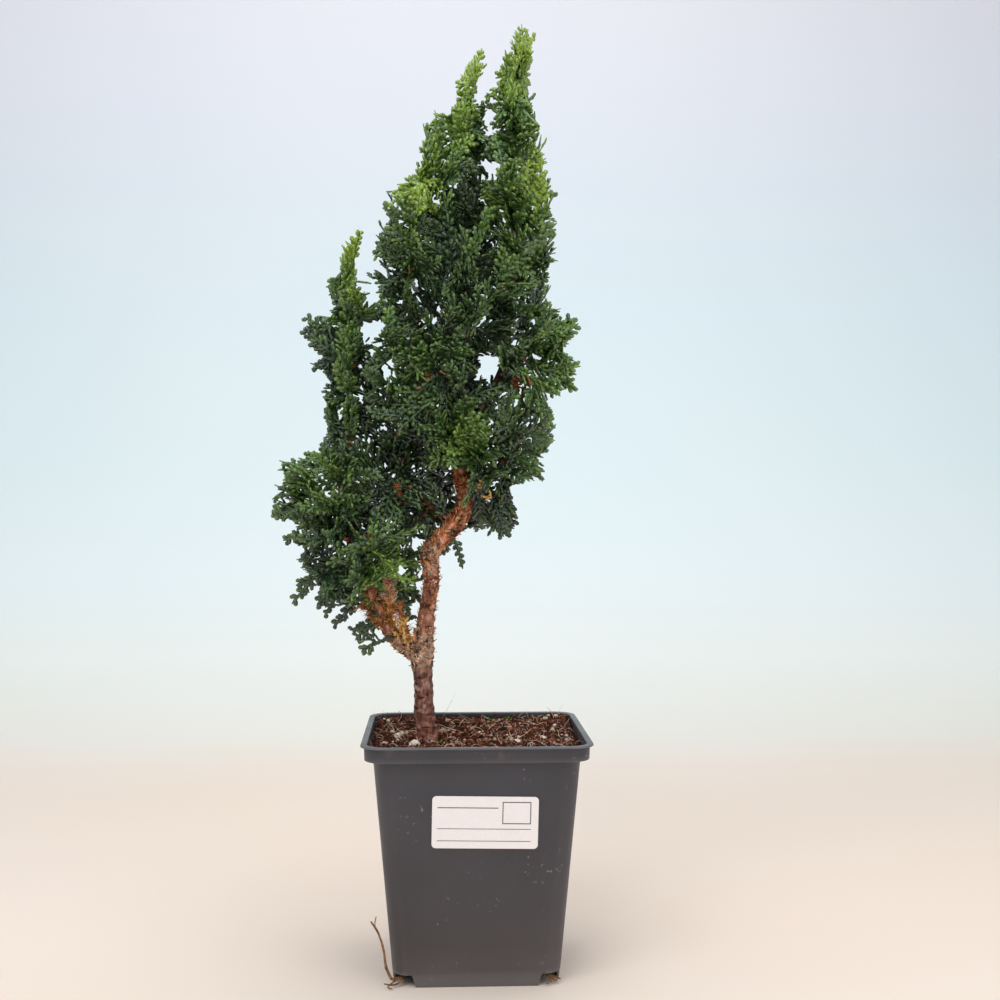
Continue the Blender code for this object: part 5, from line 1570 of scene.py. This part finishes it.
class Twigs:
    # the leafy twigs of one shoot, kept by their number of scale pairs, and the lobes on their sides
    def __init__(self):
        self.groups, self.lobes, self.stalks, self.middles = {}, [], [], []

    def add(self, row, pitch, fresh, tone, brown=0.0):
        pairs = max(2, round(row[9] / pitch))
        self.groups.setdefault(pairs, []).append((row, (fresh, tone, brown)))
        self.middles.append(row[0:3] + row[3:6] * row[9] * 0.6)

    def addLobes(self, rng, row, side, fresh, tone, brown):
        s = spray
        base, ahead, up, reach = row[0:3], row[3:6], row[6:9], row[9]
        across = np.cross(up, ahead)
        bend = across * row[12] + up * row[13]
        for share in s["lobes"] if reach > s["manyLobes"] else s["lobes"][:1]:
            side = -side
            lean = math.radians(rng.uniform(*s["lobeLean"]))
            way = math.cos(lean) * ahead + math.sin(lean) * side * across
            length = min(rng.uniform(*s["lobeLength"]) * (1.1 - 0.5 * share), 0.5 * reach)
            root = base + reach * (ahead * share + bend * share**2)
            lobe = stripRow(root, way, up, length, s["lobeWide"], s["lobeThick"], -side * 0.15, -0.08)
            self.lobes.append((lobe, (fresh, tone + rng.normal(0, 0.06), brown)))

    def batch(self):
        made = Batch(*leafValues)
        kinds = [(items, scaleProfile(pairs)) for pairs, items in sorted(self.groups.items())]
        if self.lobes:
            kinds.append((self.lobes, lobeShape))
        for items, profile in kinds:
            rows = np.array([row for row, values in items])
            points, faces, tip = strips(rows, scaleSection, profile)
            each = len(points) // len(rows)
            fresh, tone, brown = np.repeat(np.array([values for row, values in items]), each, 0).T
            seam = np.arange(len(points)) % each // len(scaleSection) % 2 == 0
            points = np.clip(points, boxLow, boxHigh)
            made.add(points, faces, tip=tip, seam=seam, fresh=fresh, tone=np.clip(tone, 0, 1), brown=brown)
        for line in self.stalks:
            points, faces = skin(bentTube(line, 6, 0.1, 3.0, 1.5))
            made.add(points, faces, tone=0.5, brown=0.75, seam=0.5)
        return made


def growSpray(twigs, rng, base, direction, normal, length, size=1.0, free=False, dead=None):
    # a leafy stem with shorter leafy twigs on both sides by turns; it stops at the edge of the crown
    s = spray
    alive = dead is None
    normal = unit(normal - direction * (normal @ direction))
    side = np.cross(normal, direction)
    bow, curl = rng.uniform(-0.12, 0.12), -rng.uniform(0.04, 0.22)
    bend = side * bow + normal * curl
    shares = np.linspace(0.3, 1, s["shortenAt"])[:, None]
    line = base + length * (direction * shares + bend * shares**2)
    if alive and inWindow(line[s["shortenAt"] // 2]):
        return
    fits = inBox(line) & (free | inCrown(*seenAt(line)))
    if not fits.all():
        reached = shares[max(np.argmin(fits), 1), 0]
        length *= reached
        bend = bend * reached
    middle = base + direction * length * 0.6
    fresh = freshAt(middle, rng)
    brown = 0.0 if alive else 1.0
    tone = toneAt(middle, rng) if alive else dead
    slim = 1.0 if alive else s["deadWide"]
    sizes = (length, s["stemWide"] * slim, s["stemThick"], side @ bend, normal @ bend)
    twigs.add(stripRow(base, direction, normal, *sizes), s["stemPitch"], fresh, tone, brown)
    closer = min(1.0, s["smallStep"][0] + s["smallStep"][1] * size) if alive else s["deadStep"]
    narrower = s["smallWide"][0] + s["smallWide"][1] * size
    at = s["step"] * rng.uniform(0.4, 1.0)
    which = rng.choice((-1, 1))
    while at < length - 1.0:
        t = at / length
        point = base + length * (direction * t + bend * t * t)
        tangent = unit(direction + 2 * t * bend)
        up = unit(normal - tangent * (normal @ tangent))
        lean = math.radians(rng.uniform(*s["lean"]))
        ahead = math.cos(lean) * tangent + math.sin(lean) * which * np.cross(up, tangent)
        ahead = unit(ahead + up * rng.normal(0, s["tilt"]))
        reach = s["longest"] * size * np.interp(t, *s["lengthAlong"]) * rng.uniform(0.82, 1.15)
        wide = s["wide"] * rng.uniform(0.88, 1.12) * narrower * slim
        which = -which
        at += s["step"] * rng.uniform(0.85, 1.15) * closer
        end = point + ahead * reach
        if not inBox(end) or (alive and inWindow(end)):
            continue
        if not (free or inCrown(*seenSpot(end)) or rng.random() < s["strays"]):
            continue
        bow, curl = which * rng.uniform(0.02, 0.2), -rng.uniform(-0.03, 0.16)
        row = stripRow(point, ahead, up, reach, wide, s["thick"], bow, curl)
        mine = min(max(fresh + rng.normal(0, 0.05) + 0.06 * t, 0), 1)
        shade = tone + rng.normal(0, s["uneven"])
        if alive:
            brown = brownAt(point, rng)
            shade = min(shade, s["brownShade"]) if brown else shade
        twigs.add(row, s["pitch"], mine, shade, brown)
        if alive:
            twigs.addLobes(rng, row, which, mine, shade, brown)


def frondFrame(frond, along, across):
    # place, forward direction and upper side on the solid frond's cupped face
    def spot(*where):
        u, v = (np.array([float(distance)]) for distance in where)
        return onFrond(frond, u, v, cupped(frond, u, v))[0]

    here = spot(along, across)
    ahead = unit(spot(along + 1, across) - here)
    aside = unit(spot(along, across + 1) - here)
    return here, ahead, aside, unit(np.cross(ahead, aside))


def growFrond(twigs, rng, frond):
    # leafy twigs all along the rib and a spray for each finger of the solid frond
    length = frond["length"]
    here, ahead, aside, up = frondFrame(frond, 0.0, 0.0)
    growSpray(twigs, rng, here, ahead, up, length, spray["frondSize"])
    lean = math.radians(crown["fingerLean"])
    for side, first in ((1, crown["firstFingers"][0]), (-1, crown["firstFingers"][1])):
        for i, reach in enumerate(crown["fingers"]):
            here, ahead, aside, up = frondFrame(frond, (first + crown["fingerStep"] * i) * length, 0.0)
            angle = lean + rng.normal(0, 0.08)
            way = math.cos(angle) * ahead + math.sin(angle) * side * aside * frond["breadth"]
            way = unit(way + up * rng.normal(0, 0.12))
            tilt = up + np.cross(up, way) * rng.normal(0, 0.25)
            stem = reach * length * spray["fingerLength"]
            growSpray(twigs, rng, here, way, tilt, stem, spray["fingerSize"])


# extra sprays where the crown is still open, then patches in its thinnest places
fill = dict(
    extra=655, patches=198, tryouts=28, length=(12, 24), size=0.9, reach=4.5, outside=0.14, overshoot=5.0,
    aimFrom=12, aimStarts=40, frondShares=(0.2, 0.45, 0.7), limbStarts=16, topHeights=(400, 430, 470),
    topDepths=(44, 17, 11), cell=3.0, acrossEnds=(-84, 84), depthEnds=(-60, 60), heightEnds=(150, 476),
    bareFront=2.0, bareBack=0.8, bareCount=3, leftBareFrom=188, mainBareFrom=224, sideWeight=0.7, fading=1.5,
    neighbours=0.35, pickedWeight=3,
)


class CrownCover:
    # how well the leaves cover the crown, in cells as the viewer sees them and in cells as seen from the side
    def __init__(self, lines):
        cell = fill["cell"]
        ends = fill["acrossEnds"], fill["depthEnds"], fill["heightEnds"]
        self.xs, self.ys, self.zs = (np.arange(*pair, cell) for pair in ends)
        self.front = np.zeros((len(self.xs), len(self.zs)))
        self.side = np.zeros((len(self.ys), len(self.zs)))
        middle = np.meshgrid(self.xs + cell / 2, self.zs + cell / 2, indexing="ij")
        inside, window = inCrown(*middle), inAny(*middle, windows)
        around = np.pad(inside, 1)
        inside &= around[:-2, 1:-1] & around[2:, 1:-1] & around[1:-1, :-2] & around[1:-1, 2:]
        self.inside = inside & ~window
        self.picked = np.zeros_like(self.front)
        # limbs still bare, seen from the front and from behind, and how near they are
        self.bare = [np.zeros_like(self.front), np.zeros_like(self.front)]
        self.near = [np.full_like(self.front, np.inf), np.full_like(self.front, np.inf)]
        for name, line in lines.items():
            line = line[line[:, 2] > fill["leftBareFrom" if name.startswith("left") else "mainBareFrom"]]
            i, j, k = self.cells(line[:, :3])
            for sign, bare, near in zip((1, -1), self.bare, self.near):
                bare[i, j] = fill["bareCount"]
                np.minimum.at(near, (i, j), sign * line[:, 1] - line[:, 3])
        self.bare[0][window] = 0

    def cells(self, points):
        x, z = seenAt(points)
        found = []
        for values, edges in ((x, self.xs), (z, self.zs), (points[:, 1], self.ys)):
            found.append(np.clip(((values - edges[0]) / fill["cell"]).astype(int), 0, len(edges) - 1))
        return found

    def add(self, points):
        i, j, k = self.cells(points)
        np.add.at(self.front, (i, j), 1)
        np.add.at(self.side, (k, j), 1)
        for sign, bare, near in zip((1, -1), self.bare, self.near):
            hides = sign * points[:, 1] < near[i, j]
            np.subtract.at(bare, (i[hides], j[hides]), 1)
            np.maximum(bare, 0, out=bare)

    def thinnest(self):
        # the place in the crown with the fewest leaves in view; one that was picked counts as fuller
        around = self.front + self.picked
        beside = self.front[:-2, 1:-1] + self.front[2:, 1:-1] + self.front[1:-1, :-2] + self.front[1:-1, 2:]
        around[1:-1, 1:-1] += fill["neighbours"] * beside
        i, j = np.unravel_index(np.argmin(np.where(self.inside, around, np.inf)), around.shape)
        self.picked[i, j] += fill["pickedWeight"]
        return self.xs[i] + fill["cell"] / 2, self.zs[j] + fill["cell"] / 2

    def gain(self, points):
        i, j, k = self.cells(points)
        total = (1 / (1 + self.front[i, j]) ** fill["fading"]).sum()
        total += fill["sideWeight"] * (1 / (1 + self.side[k, j]) ** fill["fading"]).sum()
        weights = fill["bareFront"], fill["bareBack"]
        for weight, sign, bare, near in zip(weights, (1, -1), self.bare, self.near):
            total += weight * (np.minimum(bare[i, j], 1) * (sign * points[:, 1] < near[i, j])).sum()
        return total


def sprayStarts(placed, lines):
    # places on stalks, fronds and limbs where extra sprays may start, with the way on and their shoot
    starts = []
    for shoot in placed:
        for frond in shoot["fronds"]:
            along = [frondFrame(frond, share * frond["length"], 0.0)[0] for share in fill["frondShares"]]
            for point in [*frond["stalk"][1:], *along]:
                starts.append((point, frond["direction"], shoot["name"]))
    for name, line in lines.items():
        owners = [shoot for shoot in placed if shoot["name"].startswith(f"{name}_shoot_")]
        for share in np.linspace(shoots[name]["part"][0], 1.0, fill["limbStarts"]):
            here, tangent, radius = atFraction(line, share)
            owner = min(owners, key=lambda shoot: np.linalg.norm(shoot["fronds"][0]["stalk"][0] - here))
            starts.append((here, tangent, owner["name"]))
    return starts


def growListed(rng, books):
    # the sprays in the lists above, which may stand out of the crown
    def grow(owner, start, way, normal, length, size=1.0, dead=None):
        growSpray(books[owner], rng, np.array(start, float), way, normal, length, size, True, dead)

    for start, way, length, owner in namedSprays:
        for turn in (-0.5, 0.4):
            normal = unit(np.cross(way, (0.2, 0.1, 1)) * turn + (0, -1, 0.2))
            grow(owner, start, unit(np.array(way)), normal, length)
    for start, way, length, size, owner in thinSprays:
        grow(owner, start, unit(np.array(way)), np.array((0.3, -1, 0)), length, size)
    for start, way, length, yellow, owner in deadSprays:
        for turn in range(2):
            ahead = unit(np.array(way) + rng.normal(0, 0.35, 3))
            grow(owner, start, ahead, anyAcross(rng, ahead), length, spray["deadSize"], yellow)


def fitsCrown(line, touched):
    # the stem lies in the crown and nearly all of its twigs too, and the top of the crown stays slim
    if (~inCrown(*seenAt(touched))).mean() > fill["outside"] or not inCrown(*seenAt(line)).all():
        return False
    depth = np.interp(touched[:, 2], fill["topHeights"], fill["topDepths"])
    return inBox(touched).all() and (abs(touched[:, 1]) <= depth).all()


def fillCrown(placed, books):
    # each extra spray is the tryout that covers most of what is still open
    rng = np.random.default_rng(spray["seed"] + 1)
    lines = {name: smoothPath(points, 6) for name, points in limbs.items()}
    cover = CrownCover(lines)
    starts = sprayStarts(placed, lines)
    startX, startZ = seenAt(np.array([point for point, way, owner in starts]))
    growListed(rng, books)
    for twigs in books.values():
        cover.add(np.array(twigs.middles))
    added = 0
    t = np.linspace(0.2, 1.0, 5)[:, None]
    for turn in range(fill["extra"] + fill["patches"]):
        best = None
        aim = cover.thinnest() if turn >= fill["extra"] else None
        if aim is not None:
            far = np.hypot(startX - aim[0], startZ - aim[1])
            nearby = [starts[i] for i in np.argsort(abs(far - fill["aimFrom"]))[:fill["aimStarts"]]]
        for attempt in range(fill["tryouts"]):
            point, along, owner = starts[rng.integers(len(starts))]
            if aim is None:
                away = awayFromAxis(point) / 30
                direction = along * rng.uniform(0.2, 1.0) + away * rng.uniform(0.2, 1.2)
                direction = unit(direction + rng.normal(0, 0.6, 3) + (0, 0, 0.35))
                length = rng.uniform(*fill["length"])
            else:
                point, along, owner = nearby[rng.integers(len(nearby))]
                target = np.array((aim[0], point[1] + rng.uniform(-9, 5), aim[1])) + rng.normal(0, 1.5, 3)
                direction = unit(target - point)
                length = np.linalg.norm(target - point) + fill["overshoot"]
            side = anyAcross(rng, direction)
            line = point + direction * length * t
            reach = side * fill["reach"] * (1 - 0.5 * t)
            touched = np.vstack([line, line + reach, line - reach])
            if not fitsCrown(line, touched):
                continue
            gain = cover.gain(touched)
            if not best or gain > best[0]:
                best = (gain, point, direction, side, length, owner)
        if not best:
            continue
        gain, point, direction, side, length, owner = best
        middles = books[owner].middles
        before = len(middles)
        growSpray(books[owner], rng, point, direction, unit(np.cross(side, direction)), length, fill["size"])
        if len(middles) > before:
            cover.add(np.array(middles[before:]))
            added += 1
    return added


def leafSurface():
    made, tree, shader = surface("scaleLeaves", 0.40)
    fresh, tone, tip = value(tree, "fresh"), value(tree, "tone"), value(tree, "tip")
    # dark greens by tone, whose low end also carries the painted shade of the low and inner crown
    deep = ramp(tree, tone, (0.0, (0.006, 0.017, 0.010)), (0.5, (0.020, 0.052, 0.022)),
                (1.0, (0.050, 0.102, 0.030)))
    young = ramp(tree, fresh, (0.0, (0.026, 0.072, 0.022)), (0.35, (0.068, 0.168, 0.022)),
                 (0.7, (0.225, 0.390, 0.034)), (1.0, (0.430, 0.610, 0.062)))
    base = mixed(tree, ramp(tree, fresh, (0.05, 0.0), (0.30, 1.0)), deep, young)
    lighter = math2(tree, "MULTIPLY", ramp(tree, tip, (0.35, 0.0), (0.9, 0.85)), fresh)
    base = mixed(tree, lighter, base, (0.30, 0.46, 0.06))
    base = shaded(tree, base, noiseRamp(tree, 520.0, 3.0, (0.3, 0.72), (0.7, 1.32)))
    seam = ramp(tree, value(tree, "seam"), (0.45, 0.0), (1.0, 0.62))
    base = mixed(tree, seam, base, (0.008, 0.020, 0.009))
    # pale grey-green flecks: partly the leaves' waxy bloom, partly painted glints
    bloomAndGlints = noiseRamp(tree, 800.0, 2.0, (0.57, 0.0), (0.70, 0.42))
    base = mixed(tree, bloomAndGlints, base, (0.32, 0.43, 0.35))
    rust = ramp(tree, tone, (0.1, (0.24, 0.060, 0.018)), (0.4, (0.50, 0.16, 0.04)),
                (0.75, (0.68, 0.34, 0.13)), (0.97, (0.80, 0.49, 0.12)))
    coloured(tree, shader, mixed(tree, value(tree, "brown"), base, rust))
    tree.links.new(noiseRamp(tree, 300.0, 2.0, (0.3, 0.27), (0.7, 0.45)), shader.inputs["Roughness"])
    shader.inputs["Specular IOR Level"].default_value = 0.85
    bumped(tree, shader, noiseOf(tree, 1300.0, 3.0), 0.4, 0.25)
    return made


def addFoliage(placed):
    books = {}
    for number, shoot in enumerate(placed):
        rng = np.random.default_rng([spray["seed"], number])
        twigs = Twigs()
        for index, frond in enumerate(shoot["fronds"]):
            growFrond(twigs, rng, frond)
            if index == 0:
                path = smoothPath(frond["stalk"], 2)
                radius = np.linspace(1.3, 0.7, len(path)) * spray["stalkWide"]
                twigs.stalks.append(np.column_stack([path, radius]))
        books[shoot["name"]] = twigs
    print("fill sprays:", fillCrown(placed, books))
    leaves = leafSurface()
    total = 0
    for name, twigs in books.items():
        batch = twigs.batch()
        addPiece(name + "_sprays", batch, [leaves], [name], "leaf")
        total += batch.triangles()
    return total


print("sprays of scale leaves:", addFoliage(placedShoots), "triangles")
allTriangles = sum(len(face.vertices) - 2 for mesh in bpy.data.meshes for face in mesh.polygons)
print("triangles in all meshes, the solids among them:", allTriangles)
